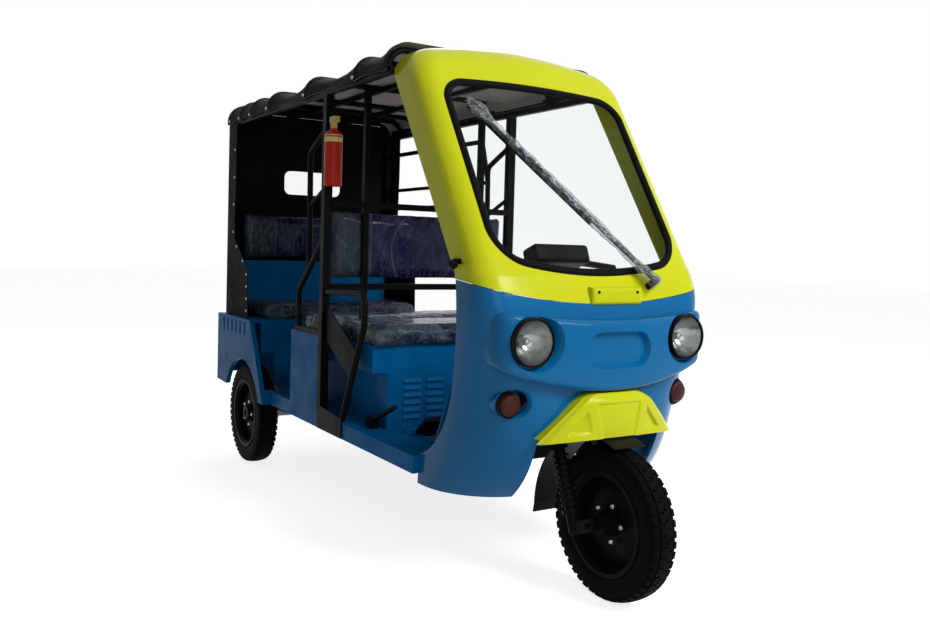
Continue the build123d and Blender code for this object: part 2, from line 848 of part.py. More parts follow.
# Steering: fork, mudguard, handlebar and pod
with BuildPart(steer_plane) as front_fork:
    for side in (-1, 1):
        with Locations((side * leg_x, 0, (clamp_bottom + clamp_thick - 40) / 2)):
            Cylinder(leg_radius, clamp_bottom + clamp_thick + 40)
        for ring in range(9):
            with Locations((side * leg_x, 0, 46 + ring * 19)):
                Cylinder(spring_radius, 9)
        with Locations((side * leg_x, 0, 24)):
            Cylinder(spring_radius + 2, 14)
        with Locations((side * leg_x, 0, 226)):
            Cylinder(spring_radius + 2, 14)
        with Locations((side * leg_x, -axle_lead / 2, axle_drop)):
            Box(18, axle_lead + 44, 40)
    with Locations((0, 0, clamp_bottom + clamp_thick / 2)):
        Box(2 * leg_x + 2 * leg_radius, 62, clamp_thick)
    with Locations((0, 0, (clamp_bottom + bar_height) / 2)):
        Cylinder(stem_radius, bar_height - clamp_bottom)
    with Locations(Location((0, -axle_lead, axle_drop), (0, 90, 0))):
        Cylinder(axle_radius, 2 * leg_x + 40)
    for side in (-1, 1):
        with Locations(Location((side * (hub_half + 0.3 + leg_x - 9) / 2, -axle_lead, axle_drop), (0, 90, 0))):
            Cylinder(15, leg_x - 9 - hub_half - 0.3)

guard_half = 62
guard_centre_y = at(38)
guard_centre_z = 222
guard_radius = 283
guard_sheet = 4
with BuildPart() as front_mudguard:
    front_angle = math.radians(112)
    rear_angle = math.radians(0)
    middle_angle = math.radians(60)

    def guard_point(angle, radius):
        return (guard_centre_y + radius * math.cos(angle), guard_centre_z + radius * math.sin(angle))

    outer = guard_radius + guard_sheet
    with BuildSketch(Plane.YZ.offset(-guard_half)):
        with BuildLine():
            ThreePointArc(
                guard_point(front_angle, guard_radius),
                guard_point(middle_angle, guard_radius),
                guard_point(rear_angle, guard_radius),
            )
            tail = (guard_centre_y + guard_radius + 6, 190)
            Line(guard_point(rear_angle, guard_radius), tail)
            Line(tail, (tail[0] + guard_sheet, tail[1]))
            Line((tail[0] + guard_sheet, tail[1]), guard_point(rear_angle, outer))
            ThreePointArc(
                guard_point(rear_angle, outer),
                guard_point(middle_angle, outer),
                guard_point(front_angle, outer),
            )
            Line(guard_point(front_angle, outer), guard_point(front_angle, guard_radius))
        make_face()
    extrude(amount=2 * guard_half)
    for side in (-1, 1):
        solid_box(
            (side * (guard_half - 4), side * (leg_x - leg_radius + 3)),
            (at(156), at(184)),
            (478, 492),
        )
    add(front_fork.part, mode=Mode.SUBTRACT)

bar_plane = steer_plane.offset(bar_height + 24)
with BuildPart() as handlebar:
    with BuildLine(bar_plane) as bar_route:
        FilletPolyline((-345, 46), (-170, 0), (170, 0), (345, 46), radius=60)
    with BuildSketch(Plane(origin=bar_route.line @ 0, z_dir=bar_route.line % 0)):
        Circle(12)
    sweep()
    with BuildSketch(steer_plane.offset(bar_height)):
        Rectangle(72, 44)
    extrude(amount=40)

with BuildPart(steer_plane) as instrument_pod:
    with Locations((0, -62, bar_height + 24)):
        Box(230, 80, 66)
    fillet(instrument_pod.edges(), 14)


# Wheels
def wheel_rim(side, bore, hub_long):
    offset = 8 * side
    with BuildSketch(Plane.XY) as section:
        with BuildLine():
            Polyline(
                (-hub_long, bore),
                (hub_long, bore),
                (hub_long, 34),
                (offset + 14, 44),
                (offset + 12, 100),
                (offset + 20, 138),
                (32, 138),
                (46, 150),
                (46, 164),
                (40, 164),
                (36, bead_radius),
                (-36, bead_radius),
                (-40, 164),
                (-46, 164),
                (-46, 150),
                (-32, 140),
                (offset + 8, 140),
                (offset, 100),
                (offset, 44),
                (-hub_long, 34),
                close=True,
            )
        make_face()
    revolve(section.sketch, axis=Axis.X)


def tyre_ring():
    half = tyre_width / 2
    with BuildSketch(Plane.XY) as section:
        with BuildLine():
            Polyline((-36, bead_radius), (36, bead_radius))
            Line((36, bead_radius), (39.6, 164.4))
            ThreePointArc((39.6, 164.4), (half, 196), (half - 3, 220))
            Line((half - 3, 220), (half - 14, tyre_radius - 5))
            ThreePointArc((half - 14, tyre_radius - 5), (0, tyre_radius), (14 - half, tyre_radius - 5))
            Line((14 - half, tyre_radius - 5), (3 - half, 220))
            ThreePointArc((3 - half, 220), (-half, 196), (-39.6, 164.4))
            Line((-39.6, 164.4), (-36, bead_radius))
        make_face()
    revolve(section.sketch, axis=Axis.X)


with BuildPart() as plain_tyre:
    tyre_ring()

with BuildPart() as plain_rim_front:
    wheel_rim(0, axle_radius + running_gap, hub_half)

with BuildPart() as plain_rim_right:
    wheel_rim(-1, spindle_radius + hub_gap, 40)

with BuildPart() as plain_rim_left:
    wheel_rim(1, spindle_radius + hub_gap, 40)

with BuildPart() as front_tyre:
    with Locations((0, front_axle_y, axle_z)):
        add(plain_tyre.part)

with BuildPart() as front_rim:
    with Locations((0, front_axle_y, axle_z)):
        add(plain_rim_front.part)

with BuildPart() as rear_tyre_right:
    with Locations((-track / 2, rear_axle_y, axle_z)):
        add(plain_tyre.part)

with BuildPart() as rear_rim_right:
    with Locations((-track / 2, rear_axle_y, axle_z)):
        add(plain_rim_right.part)

with BuildPart() as rear_tyre_left:
    with Locations((track / 2, rear_axle_y, axle_z)):
        add(plain_tyre.part)

with BuildPart() as rear_rim_left:
    with Locations((track / 2, rear_axle_y, axle_z)):
        add(plain_rim_left.part)

# Files
cab_lower.part.label = "cab_lower"
cab_upper.part.label = "cab_upper"
mirror_sockets.part.label = "mirror_sockets"
windscreen_seal.part.label = "windscreen_seal"
windscreen.part.label = "windscreen"
front_visor.part.label = "front_visor"
headlamp_rims.part.label = "headlamp_rims"
headlamp_lenses.part.label = "headlamp_lenses"
headlamp_reflectors.part.label = "headlamp_reflectors"
turn_signals.part.label = "turn_signals"
wiper_motor_cover.part.label = "wiper_motor_cover"
wiper.part.label = "wiper"
chassis_frame.part.label = "chassis_frame"
floor_pan.part.label = "floor_pan"
sills.part.label = "sills"
side_frame_right.part.label = "side_frame_right"
side_frame_left.part.label = "side_frame_left"
roof_rails.part.label = "roof_rails"
roof_bows.part.label = "roof_bows"
roof_canopy.part.label = "roof_canopy"
rear_curtain.part.label = "rear_curtain"
rear_window.part.label = "rear_window"
front_seat_box.part.label = "front_seat_box"
battery_pack.part.label = "battery_pack"
driver_seat_cushion.part.label = "driver_seat_cushion"
middle_seat_cushion.part.label = "middle_seat_cushion"
driver_backrest.part.label = "driver_backrest"
middle_backrest.part.label = "middle_backrest"
seat_back_frame.part.label = "seat_back_frame"
rear_seat_box.part.label = "rear_seat_box"
rear_seat_cushion.part.label = "rear_seat_cushion"
rear_backrest.part.label = "rear_backrest"
side_panels.part.label = "side_panels"
rear_fenders.part.label = "rear_fenders"
rear_panel.part.label = "rear_panel"
tail_lamps.part.label = "tail_lamps"
fire_extinguisher.part.label = "fire_extinguisher"
rear_axle.part.label = "rear_axle"
drive_motor.part.label = "drive_motor"
leaf_springs.part.label = "leaf_springs"
driver_controls.part.label = "driver_controls"
front_fork.part.label = "front_fork"
front_mudguard.part.label = "front_mudguard"
handlebar.part.label = "handlebar"
instrument_pod.part.label = "instrument_pod"
front_tyre.part.label = "front_tyre"
front_rim.part.label = "front_rim"
rear_tyre_right.part.label = "rear_tyre_right"
rear_rim_right.part.label = "rear_rim_right"
rear_tyre_left.part.label = "rear_tyre_left"
rear_rim_left.part.label = "rear_rim_left"
export_step(cab_lower.part, "parts/cab_lower.step")
export_step(cab_upper.part, "parts/cab_upper.step")
export_step(mirror_sockets.part, "parts/mirror_sockets.step")
export_step(windscreen_seal.part, "parts/windscreen_seal.step")
export_step(windscreen.part, "parts/windscreen.step")
export_step(front_visor.part, "parts/front_visor.step")
export_step(headlamp_rims.part, "parts/headlamp_rims.step")
export_step(headlamp_lenses.part, "parts/headlamp_lenses.step")
export_step(headlamp_reflectors.part, "parts/headlamp_reflectors.step")
export_step(turn_signals.part, "parts/turn_signals.step")
export_step(wiper_motor_cover.part, "parts/wiper_motor_cover.step")
export_step(wiper.part, "parts/wiper.step")
export_step(chassis_frame.part, "parts/chassis_frame.step")
export_step(floor_pan.part, "parts/floor_pan.step")
export_step(sills.part, "parts/sills.step")
export_step(side_frame_right.part, "parts/side_frame_right.step")
export_step(side_frame_left.part, "parts/side_frame_left.step")
export_step(roof_rails.part, "parts/roof_rails.step")
export_step(roof_bows.part, "parts/roof_bows.step")
export_step(roof_canopy.part, "parts/roof_canopy.step")
export_step(rear_curtain.part, "parts/rear_curtain.step")
export_step(rear_window.part, "parts/rear_window.step")
export_step(front_seat_box.part, "parts/front_seat_box.step")
export_step(battery_pack.part, "parts/battery_pack.step")
export_step(driver_seat_cushion.part, "parts/driver_seat_cushion.step")
export_step(middle_seat_cushion.part, "parts/middle_seat_cushion.step")
export_step(driver_backrest.part, "parts/driver_backrest.step")
export_step(middle_backrest.part, "parts/middle_backrest.step")
export_step(seat_back_frame.part, "parts/seat_back_frame.step")
export_step(rear_seat_box.part, "parts/rear_seat_box.step")
export_step(rear_seat_cushion.part, "parts/rear_seat_cushion.step")
export_step(rear_backrest.part, "parts/rear_backrest.step")
export_step(side_panels.part, "parts/side_panels.step")
export_step(rear_fenders.part, "parts/rear_fenders.step")
export_step(rear_panel.part, "parts/rear_panel.step")
export_step(tail_lamps.part, "parts/tail_lamps.step")
export_step(fire_extinguisher.part, "parts/fire_extinguisher.step")
export_step(rear_axle.part, "parts/rear_axle.step")
export_step(drive_motor.part, "parts/drive_motor.step")
export_step(leaf_springs.part, "parts/leaf_springs.step")
export_step(driver_controls.part, "parts/driver_controls.step")
export_step(front_fork.part, "parts/front_fork.step")
export_step(front_mudguard.part, "parts/front_mudguard.step")
export_step(handlebar.part, "parts/handlebar.step")
export_step(instrument_pod.part, "parts/instrument_pod.step")
export_step(front_tyre.part, "parts/front_tyre.step")
export_step(front_rim.part, "parts/front_rim.step")
export_step(rear_tyre_right.part, "parts/rear_tyre_right.step")
export_step(rear_rim_right.part, "parts/rear_rim_right.step")
export_step(rear_tyre_left.part, "parts/rear_tyre_left.step")
export_step(rear_rim_left.part, "parts/rear_rim_left.step")
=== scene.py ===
import json
import math

import bpy
from mathutils import Matrix, Vector, noise


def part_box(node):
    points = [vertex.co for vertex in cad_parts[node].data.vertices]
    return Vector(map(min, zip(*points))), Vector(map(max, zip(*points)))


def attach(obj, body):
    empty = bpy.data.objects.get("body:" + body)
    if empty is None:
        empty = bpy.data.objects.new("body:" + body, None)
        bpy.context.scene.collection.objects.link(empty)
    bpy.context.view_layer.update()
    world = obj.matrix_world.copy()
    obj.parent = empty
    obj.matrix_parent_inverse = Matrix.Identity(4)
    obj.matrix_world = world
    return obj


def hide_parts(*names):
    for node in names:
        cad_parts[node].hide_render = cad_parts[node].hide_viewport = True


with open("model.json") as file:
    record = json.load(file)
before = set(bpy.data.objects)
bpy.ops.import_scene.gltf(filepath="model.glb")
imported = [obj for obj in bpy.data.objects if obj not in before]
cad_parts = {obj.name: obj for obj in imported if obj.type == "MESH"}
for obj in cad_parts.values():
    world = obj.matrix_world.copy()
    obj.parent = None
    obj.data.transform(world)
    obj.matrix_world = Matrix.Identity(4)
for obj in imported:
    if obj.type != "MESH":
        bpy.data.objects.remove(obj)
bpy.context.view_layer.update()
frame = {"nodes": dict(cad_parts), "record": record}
nodes = frame["nodes"]
slotOf = {part["node"]: part["material_slot"] for part in frame["record"]["subparts"]}
print("frame loaded", len(nodes), "nodes")


# Shader maths on sockets
class Shade:
    def __init__(self, tree, socket=None):
        self.tree = tree
        self.socket = socket

    def node(self, kind, settings=None, inputs=None, out=0):
        made = self.tree.nodes.new(kind)
        for key, value in (settings or {}).items():
            setattr(made, key, value)
        for key, value in (inputs or {}).items():
            if isinstance(value, Shade):
                self.tree.links.new(value.socket, made.inputs[key])
            else:
                made.inputs[key].default_value = value
        return Shade(self.tree, made.outputs[out])

    def maths(self, operation, *values):
        return self.node("ShaderNodeMath", {"operation": operation}, dict(enumerate(values)))

    def __add__(self, other):
        return self.maths("ADD", self, other)

    def __radd__(self, other):
        return self.maths("ADD", other, self)

    def __sub__(self, other):
        return self.maths("SUBTRACT", self, other)

    def __rsub__(self, other):
        return self.maths("SUBTRACT", other, self)

    def __mul__(self, other):
        return self.maths("MULTIPLY", self, other)

    def __rmul__(self, other):
        return self.maths("MULTIPLY", other, self)

    def __truediv__(self, other):
        return self.maths("DIVIDE", self, other)

    def __pow__(self, other):
        return self.maths("POWER", self, other)

    def __abs__(self):
        return self.maths("ABSOLUTE", self)

    def over(self, low, high):
        limits = {"Value": self, "From Min": low, "From Max": high}
        return self.node("ShaderNodeMapRange", {"interpolation_type": "SMOOTHSTEP"}, limits)

    def tint(self, first, second):
        return self.node("ShaderNodeMix", {"data_type": "RGBA"}, {0: self, 6: first, 7: second}, 2)


class Finish:
    def __init__(self, name):
        self.material = bpy.data.materials.new(name)
        self.material.use_nodes = True
        self.tree = self.material.node_tree
        self.shader = self.tree.nodes["Principled BSDF"]
        self.start = Shade(self.tree)
        self.place = self.start.node("ShaderNodeTexCoord", out=3)  # object coordinates

    def set(self, **values):
        for key, value in values.items():
            socket = self.shader.inputs[key.replace("_", " ")]
            if isinstance(value, Shade):
                self.tree.links.new(value.socket, socket)
            else:
                socket.default_value = value
        return self

    def axes(self):
        return [self.start.node("ShaderNodeSeparateXYZ", None, {0: self.place}, out) for out in range(3)]

    def stretched(self, scale, turn=(0, 0, 0)):
        return self.start.node("ShaderNodeMapping", None, {0: self.place, 2: turn, 3: scale})

    def grain(self, scale, detail=2.0, rough=0.5, vector=None, distortion=0.0):
        inputs = {"Vector": vector or self.place, "Scale": scale, "Detail": detail, "Roughness": rough}
        inputs["Distortion"] = distortion
        return self.start.node("ShaderNodeTexNoise", None, inputs)

    def cells(self, scale, feature="DISTANCE_TO_EDGE", vector=None):
        inputs = {"Vector": vector or self.place, "Scale": scale}
        return self.start.node("ShaderNodeTexVoronoi", {"feature": feature}, inputs)

    def bump(self, height, distance, strength=1.0):
        inputs = {"Height": height, "Distance": distance, "Strength": strength}
        return self.start.node("ShaderNodeBump", None, inputs)


def colour(red, green, blue):
    parts = [value / 255 for value in (red, green, blue)]
    linear = [((value + 0.055) / 1.055) ** 2.4 if value > 0.04 else value / 12.92 for value in parts]
    return (*linear, 1.0)


# Paint and metal finishes
def gelcoat(name, pale, deep):
    finish = Finish(name)
    mottled = finish.grain(7.0, 3.0)
    flecks = finish.grain(900.0, 1.0).over(0.62, 0.72)
    shade = (mottled * 0.7 + flecks * 0.25).tint(pale, deep)
    peel = finish.grain(260.0, 2.0)
    finish.set(Base_Color=shade, Roughness=finish.grain(35.0, 3.0) * 0.1 + 0.1)
    finish.set(Coat_Weight=0.03, Coat_Roughness=0.06, Specular_IOR_Level=0.1)
    finish.set(Normal=finish.bump(peel, 0.0002, 0.5))
    return finish.material


def paintedSteel(name, pale, deep, dust, rough):
    finish = Finish(name)
    patches = finish.grain(9.0, 5.0).over(0.35, 0.7)
    grit = finish.grain(120.0, 3.0).over(0.58, 0.75)
    shade = (grit * patches * 0.35).tint((patches * 0.6).tint(pale, deep), dust)
    peel = finish.grain(330.0, 2.0)
    finish.set(Base_Color=shade, Roughness=patches * 0.12 + grit * 0.1 + rough)
    finish.set(Coat_Weight=0.005, Coat_Roughness=0.15, Specular_IOR_Level=0.025)
    finish.set(Normal=finish.bump(peel, 0.0002, 0.6))
    return finish.material


def bareMetal(name, pale, deep, rough, metal=1.0):
    finish = Finish(name)
    stain = finish.grain(40.0, 5.0)
    finish.set(Base_Color=stain.tint(deep, pale), Roughness=stain * 0.2 + rough, Metallic=metal)
    finish.set(Normal=finish.bump(finish.grain(500.0, 2.0), 0.0002, 0.5))
    return finish.material


def moulded(name, pale, deep, rough, grainScale=700.0):
    finish = Finish(name)
    cloudy = finish.grain(25.0, 4.0)
    pebble = finish.cells(grainScale, "F1")
    finish.set(Base_Color=cloudy.tint(deep, pale), Roughness=cloudy * 0.15 + rough, Specular_IOR_Level=0.06)
    finish.set(Normal=finish.bump(pebble, 0.00025, 0.5))
    return finish.material


def lensPlastic(name, pale, deep, ribs):
    finish = Finish(name)
    across, along, up = finish.axes()
    rows = (up * ribs).maths("SINE", up * ribs)
    columns = (across * ribs).maths("SINE", across * ribs)
    pillow = rows * columns
    finish.set(Base_Color=finish.grain(60.0).tint(deep, pale), Roughness=finish.grain(90.0) * 0.1 + 0.08)
    finish.set(Coat_Weight=0.06, Coat_Roughness=0.06, Specular_IOR_Level=0.1)
    finish.set(Normal=finish.bump(pillow, 0.0006, 0.8))
    return finish.material


def clearSheet(name, tint, gloss, crinkle, body=(0.02, 0.025, 0.025, 1), cloudAndSheen=0.0):
    finish = Finish(name)
    start = finish.start
    folds = finish.grain(26.0, 4.0, 0.55, None, 1.2)
    creases = abs(folds - 0.5)
    normal = finish.bump(creases, crinkle, 0.9)
    finish.set(Base_Color=body, Roughness=0.05, Normal=normal)
    through = start.node("ShaderNodeBsdfTransparent", None, {0: tint})
    grazing = start.node("ShaderNodeLayerWeight", None, {"Blend": 0.5, "Normal": normal}, 1)
    # Along the creases more of the opaque film body shows as painted highlight; the even part of this share
    # is the film's milkiness
    share = grazing ** 4 * gloss + (1 - creases.over(0.0, 0.05)) * cloudAndSheen + cloudAndSheen * 0.4 + 0.02
    shine = Shade(finish.tree, finish.shader.outputs[0])
    mixed = start.node("ShaderNodeMixShader", None, {0: share, 1: through, 2: shine})
    finish.tree.links.new(mixed.socket, finish.tree.nodes["Material Output"].inputs[0])
    return finish.material


def rubber(name, pale, deep, rough):
    finish = Finish(name)
    worn = finish.grain(30.0, 5.0)
    dust = finish.grain(160.0, 3.0).over(0.55, 0.8)
    finish.set(Base_Color=(dust * 0.4).tint(worn.tint(deep, pale), colour(40, 38, 35)))
    finish.set(Roughness=worn * 0.2 + rough, Specular_IOR_Level=0.025)
    finish.set(Normal=finish.bump(finish.grain(600.0, 3.0), 0.0003, 0.6))
    return finish.material


# Woven and sewn finishes
def canvasCloth(name, pale, deep):
    finish = Finish(name)
    across, along, up = finish.axes()
    warp = (across + up) * 2600.0
    weft = along * 2600.0
    weave = warp.maths("SINE", warp) * weft.maths("SINE", weft)
    faded = finish.grain(5.0, 5.0).over(0.3, 0.75)
    lint = finish.grain(240.0, 2.0).over(0.62, 0.78)
    creases = abs(finish.grain(4.5, 3.0, 0.5, None, 0.8) - 0.5)
    finish.set(Base_Color=(lint * 0.3).tint(faded.tint(deep, pale), colour(60, 59, 58)))
    finish.set(Roughness=faded * 0.15 + 0.55, Specular_IOR_Level=0.02)
    finish.set(Normal=finish.bump(creases.over(0.0, 0.1) * 0.9 + weave * 0.03, 0.004, 0.7))
    return finish.material


def wrappedVinyl(name, panelEdge, panelColour, middleColour, sweep, film):
    finish = Finish(name)
    across, along, up = finish.axes()
    panel = abs(across).over(panelEdge - 0.001, panelEdge + 0.001)
    side = abs(across) - sweep["centre"]
    arc = ((side * side + (up - sweep["height"]) * (up - sweep["height"])) ** 0.5) - sweep["radius"]
    stitch = 1 - abs(arc).over(0.002, 0.005)
    seam = 1 - abs(abs(across) - panelEdge).over(0.001, 0.004)
    leather = finish.cells(420.0, "DISTANCE_TO_EDGE")
    base = panel.tint(middleColour, panelColour)
    lines = (stitch * (1 - panel)).maths("MAXIMUM", stitch * (1 - panel), seam)
    longFolds = finish.grain(film["scale"], 4.0, 0.6, finish.stretched(film["stretch"], film["turn"]), 1.4)
    ridge = 1 - abs(longFolds - 0.5).over(0.0, 0.06)
    haze = finish.grain(14.0, 4.0).over(0.4, 0.75)
    sewn = (lines * 0.3).tint(base, colour(110, 118, 140))
    # Base colour goes to the pale film colour along the fold ridges as painted highlight, and in haze
    # patches for the film's milkiness
    sheen = (ridge * film["ridge"] + haze * film["haze"]).tint(sewn, film["pale"])
    finish.set(Base_Color=sheen, Roughness=haze * 0.16 + 0.14)
    finish.set(Coat_Weight=0.06, Coat_Roughness=0.08, Specular_IOR_Level=0.14)
    finish.set(Normal=finish.bump(ridge * 0.8 - lines * 1.2 + leather * 0.05, film["depth"], 0.9))
    return finish.material


def extinguisherPaint(name):
    finish = Finish(name)
    across, along, up = finish.axes()
    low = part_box("fire_extinguisher")[0].z
    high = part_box("fire_extinguisher")[1].z
    share = (up - low) / (high - low)
    band = share.over(0.63, 0.635) * (1 - share.over(0.70, 0.705))
    stripe = share.over(0.72, 0.725) * (1 - share.over(0.735, 0.74))
    cap = share.over(0.83, 0.84)
    scuffed = finish.grain(60.0, 4.0)
    red = scuffed.tint(colour(168, 30, 20), colour(198, 42, 26))
    labelled = (band + stripe).tint(red, colour(222, 196, 128))
    finish.set(Base_Color=cap.tint(labelled, colour(196, 170, 92)), Roughness=scuffed * 0.15 + 0.25)
    finish.set(Coat_Weight=0.05, Coat_Roughness=0.1, Specular_IOR_Level=0.1)
    finish.set(Normal=finish.bump(finish.grain(300.0), 0.0002, 0.5))
    return finish.material


navy = colour(9, 16, 62)
greyBlue = colour(40, 50, 64)
# Pale grey-blue of the film: its milky haze, and the painted highlight along its fold ridges
filmHazeAndHighlight = colour(150, 164, 178)
seatFilm = {
    "scale": 17.0, "stretch": (1.0, 3.2, 2.0), "turn": (0, 0, 0.5), "depth": 0.006,
    "haze": 0.42, "ridge": 0.3, "pale": filmHazeAndHighlight,
}
backFilm = {
    "scale": 9.0, "stretch": (3.0, 1.0, 0.9), "turn": (0, 0.6, 0), "depth": 0.003,
    "haze": 0.05, "ridge": 0.06, "pale": filmHazeAndHighlight,
}
noSweep = {"centre": 5.0, "height": 5.0, "radius": 0.1}
backSweep = {"centre": -0.02, "height": 1.06, "radius": 0.17}

finishes = {
    "lime_gelcoat": gelcoat("limeGelcoat", colour(202, 207, 22), colour(188, 193, 10)),
    "blue_gelcoat": gelcoat("blueGelcoat", colour(3, 102, 156), colour(1, 90, 142)),
    "blue_steel": paintedSteel(
        "blueSteel", colour(4, 104, 164), colour(2, 86, 142), colour(20, 92, 134), 0.32),
    "black_steel": paintedSteel(
        "blackSteel", colour(17, 17, 18), colour(11, 11, 12), colour(46, 44, 42), 0.36),
    "rubber": rubber("sealRubber", colour(17, 18, 20), colour(10, 10, 12), 0.42),
    "screen_glass": clearSheet("screenGlass", (0.965, 0.985, 0.985, 1), 0.5, 0.0),
    "black_plastic": moulded("blackPlastic", colour(20, 20, 21), colour(13, 13, 14), 0.38),
    "lamp_glass": clearSheet("lampGlass", (0.95, 0.97, 0.97, 1), 1.0, 0.0004),
    "chrome": bareMetal("chromeBowl", (0.42, 0.42, 0.41, 1), (0.26, 0.26, 0.25, 1), 0.1),
    "amber": lensPlastic("amberLens", colour(74, 24, 12), colour(44, 12, 6), 700.0),
    "canvas": canvasCloth("blackCanvas", colour(25, 25, 28), colour(14, 14, 16)),
    "clear_film": clearSheet("curtainWindow", (0.97, 0.98, 0.98, 1), 0.7, 0.0008),
    "battery_case": moulded("batteryCase", colour(30, 31, 34), colour(21, 22, 25), 0.5),
    "vinyl_navy": wrappedVinyl("navyVinyl", 0.245, greyBlue, navy, backSweep, backFilm),
    "vinyl_grey": wrappedVinyl("seatVinyl", 5.0, greyBlue, greyBlue, noSweep, seatFilm),
    "red_lens": lensPlastic("redLens", colour(170, 24, 20), colour(120, 10, 10), 500.0),
    "red_paint": extinguisherPaint("extinguisherRed"),
    "cast": bareMetal("castHousing", (0.22, 0.22, 0.22, 1), (0.12, 0.12, 0.12, 1), 0.42, 0.7),
    "spring_steel": bareMetal("springSteel", (0.07, 0.07, 0.07, 1), (0.03, 0.03, 0.03, 1), 0.4, 0.6),
    "tyre": rubber("tyreRubber", colour(13, 13, 13), colour(6, 6, 6), 0.55),
}
for nodeName, nodeObject in nodes.items():
    nodeObject.data.materials.clear()
    nodeObject.data.materials.append(finishes[slotOf[nodeName]])
print("finishes on every node")


# Helpers for new pieces
def deselect():
    if bpy.context.mode != "OBJECT":
        bpy.ops.object.mode_set(mode="OBJECT")
    bpy.ops.object.select_all(action="DESELECT")


def pick(piece):
    deselect()
    piece.select_set(True)
    bpy.context.view_layer.objects.active = piece


def editAll(piece, *steps):  # each operator on the whole mesh, in turn
    pick(piece)
    bpy.ops.object.mode_set(mode="EDIT")
    for operator, settings in steps:
        bpy.ops.mesh.select_all(action="SELECT")
        operator(**settings)
    bpy.ops.object.mode_set(mode="OBJECT")


outward = (bpy.ops.mesh.normals_make_consistent, {"inside": False})


def gridPiece(name, columns, rows, shape):
    deselect()
    bpy.ops.mesh.primitive_grid_add(x_subdivisions=columns, y_subdivisions=rows, size=2)
    piece = bpy.context.active_object
    piece.name = name
    for vertex in piece.data.vertices:
        vertex.co = shape((vertex.co.x + 1) / 2, (vertex.co.y + 1) / 2)
    editAll(piece, (bpy.ops.mesh.remove_doubles, {"threshold": 0.00002}), outward)
    return piece


def apply(piece, kind, **settings):
    pick(piece)
    modifier = piece.modifiers.new(kind.lower(), kind)
    for key, value in settings.items():
        setattr(modifier, key, value)
    bpy.ops.object.modifier_apply(modifier=modifier.name)


def join(pieces, name):
    deselect()
    for piece in pieces:
        piece.select_set(True)
    bpy.context.view_layer.objects.active = pieces[0]
    bpy.ops.object.join()
    joined = bpy.context.active_object
    joined.name = name
    return joined


def settle(piece, body, slot, finish=None, angle=40):
    pick(piece)
    bpy.ops.object.transform_apply(location=True, rotation=True, scale=True)
    bpy.ops.object.shade_smooth_by_angle(angle=math.radians(angle))
    if not piece.data.materials:
        piece.data.materials.append(finish or finishes[slot])
    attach(piece, body)
    return piece


def copies(model, placements, name):
    made = []
    for place in placements:
        copy = model.copy()
        copy.data = model.data.copy()
        bpy.context.collection.objects.link(copy)
        copy.data.transform(place)
        made.append(copy)
    bpy.data.objects.remove(model)
    return join(made, name)


def facing(direction, spot):
    turn = Vector((0, 0, 1)).rotation_difference(Vector(direction)).to_matrix().to_4x4()
    return Matrix.Translation(spot) @ turn


def between(ends, share):
    return ends[0] + (ends[1] - ends[0]) * share


def block(name, size, place, bevel, segments):
    deselect()
    bpy.ops.mesh.primitive_cube_add(size=1, location=place)
    piece = bpy.context.active_object
    piece.name = name
    piece.scale = size
    bpy.ops.object.transform_apply(location=True, rotation=True, scale=True)
    editAll(piece, (bpy.ops.mesh.bevel, {"offset": bevel, "segments": segments}))
    return piece


# Moulded cab, its skin drawn from rows and arcs
axle = (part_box("front_tyre")[0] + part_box("front_tyre")[1]) / 2
cabLook = {
    "rows": (  # height, nose behind the axle, corner radius, half width
        (0.300, 0.185, 0.245, 0.440), (0.470, 0.066, 0.262, 0.434), (0.620, 0.040, 0.240, 0.437),
        (0.790, 0.046, 0.160, 0.450), (1.000, 0.096, 0.076, 0.450),
    ),
    "low": 0.300, "foot": 1.000, "back": 0.76, "wall": 0.012, "half": 0.450, "columns": (8, 24, 31),
    "roof": 1.800, "crown": 1.87, "corner": 0.118, "rim": 0.07, "rimFoot": 0.004, "roofFront": -0.15,
    "seam": (0.085, 0.918), "seamSlope": math.radians(6), "seamSmile": 0.24, "seamGap": 0.0008,
    "seamSteps": 12, "seamEnds": (-1.0, 2.0), "seamLimits": (-0.5, 3.0),
    "footCut": (0.98, 1.02), "footFront": 0.018, "footBack": 0.01,
    "arch": {"half": 0.25, "low": 0.2, "top": 0.528, "front": -0.2, "back": 0.42},
    "reach": 0.7, "skinRows": 48, "strip": {"inset": 0.005, "low": 0.015, "tall": 0.045, "back": 0.234},
}
screenLook = {
    "nose": 0.098, "lean": math.radians(31.7), "half": 0.384, "low": 0.003, "high": 0.7746,
    "lowRadius": 1.26, "highRadius": 3.4, "lowCorner": 0.108, "highCorner": 0.092, "steps": 14,
    "seal": 0.026, "glass": 0.006, "cut": (0.05, -0.06), "paneInset": 0.7, "paneDepth": 0.002,
    "rings": 14, "bead": (0.46, 0.56), "beadRise": 0.011, "beadSunk": 0.003, "beadReach": 0.003,
}
doorLook = {  # behind the axle, height
    "top": ((0.70, 1.9), (0.70, 1.692), (0.24, 0.99)),
    "pillar": ((0.24, 0.99), (0.224, 0.85), (0.258, 0.67)),
    "sill": ((0.258, 0.67), (0.335, 0.49), (0.463, 0.396)),
    "rear": ((0.463, 0.2), (1.1, 0.2), (1.1, 1.9)),
}
bandLook = {
    "half": 0.418, "end": 0.05, "low": (0.650, 0.726), "high": (0.869, 0.897), "nose": (-0.013, 0.040),
    "round": 0.02, "columns": 90, "pill": (0.119, 0.044, 0.043), "pillHeight": 0.779, "pillSlope": 0.028,
    "pillDepth": (-0.04, 0.010), "sample": 0.78, "lap": 0.008, "least": 0.004,
    "endLow": 0.034, "endHigh": 0.022,
}
lampLook = {
    "head": {"x": 0.311, "z": 0.807, "seat": 0.034, "radius": 0.079, "wide": 0.112, "shift": 0.016},
    "signal": {"x": 0.343, "z": 0.614, "seat": 0.1005, "radius": 0.042, "wide": 0.078, "shift": 0.026},
    "front": -0.04, "bore": 0.062, "boreEnds": (-0.1, 0.2), "cupWall": 0.006, "cupDepth": 0.05,
}


def at(back):
    return axle.y + back


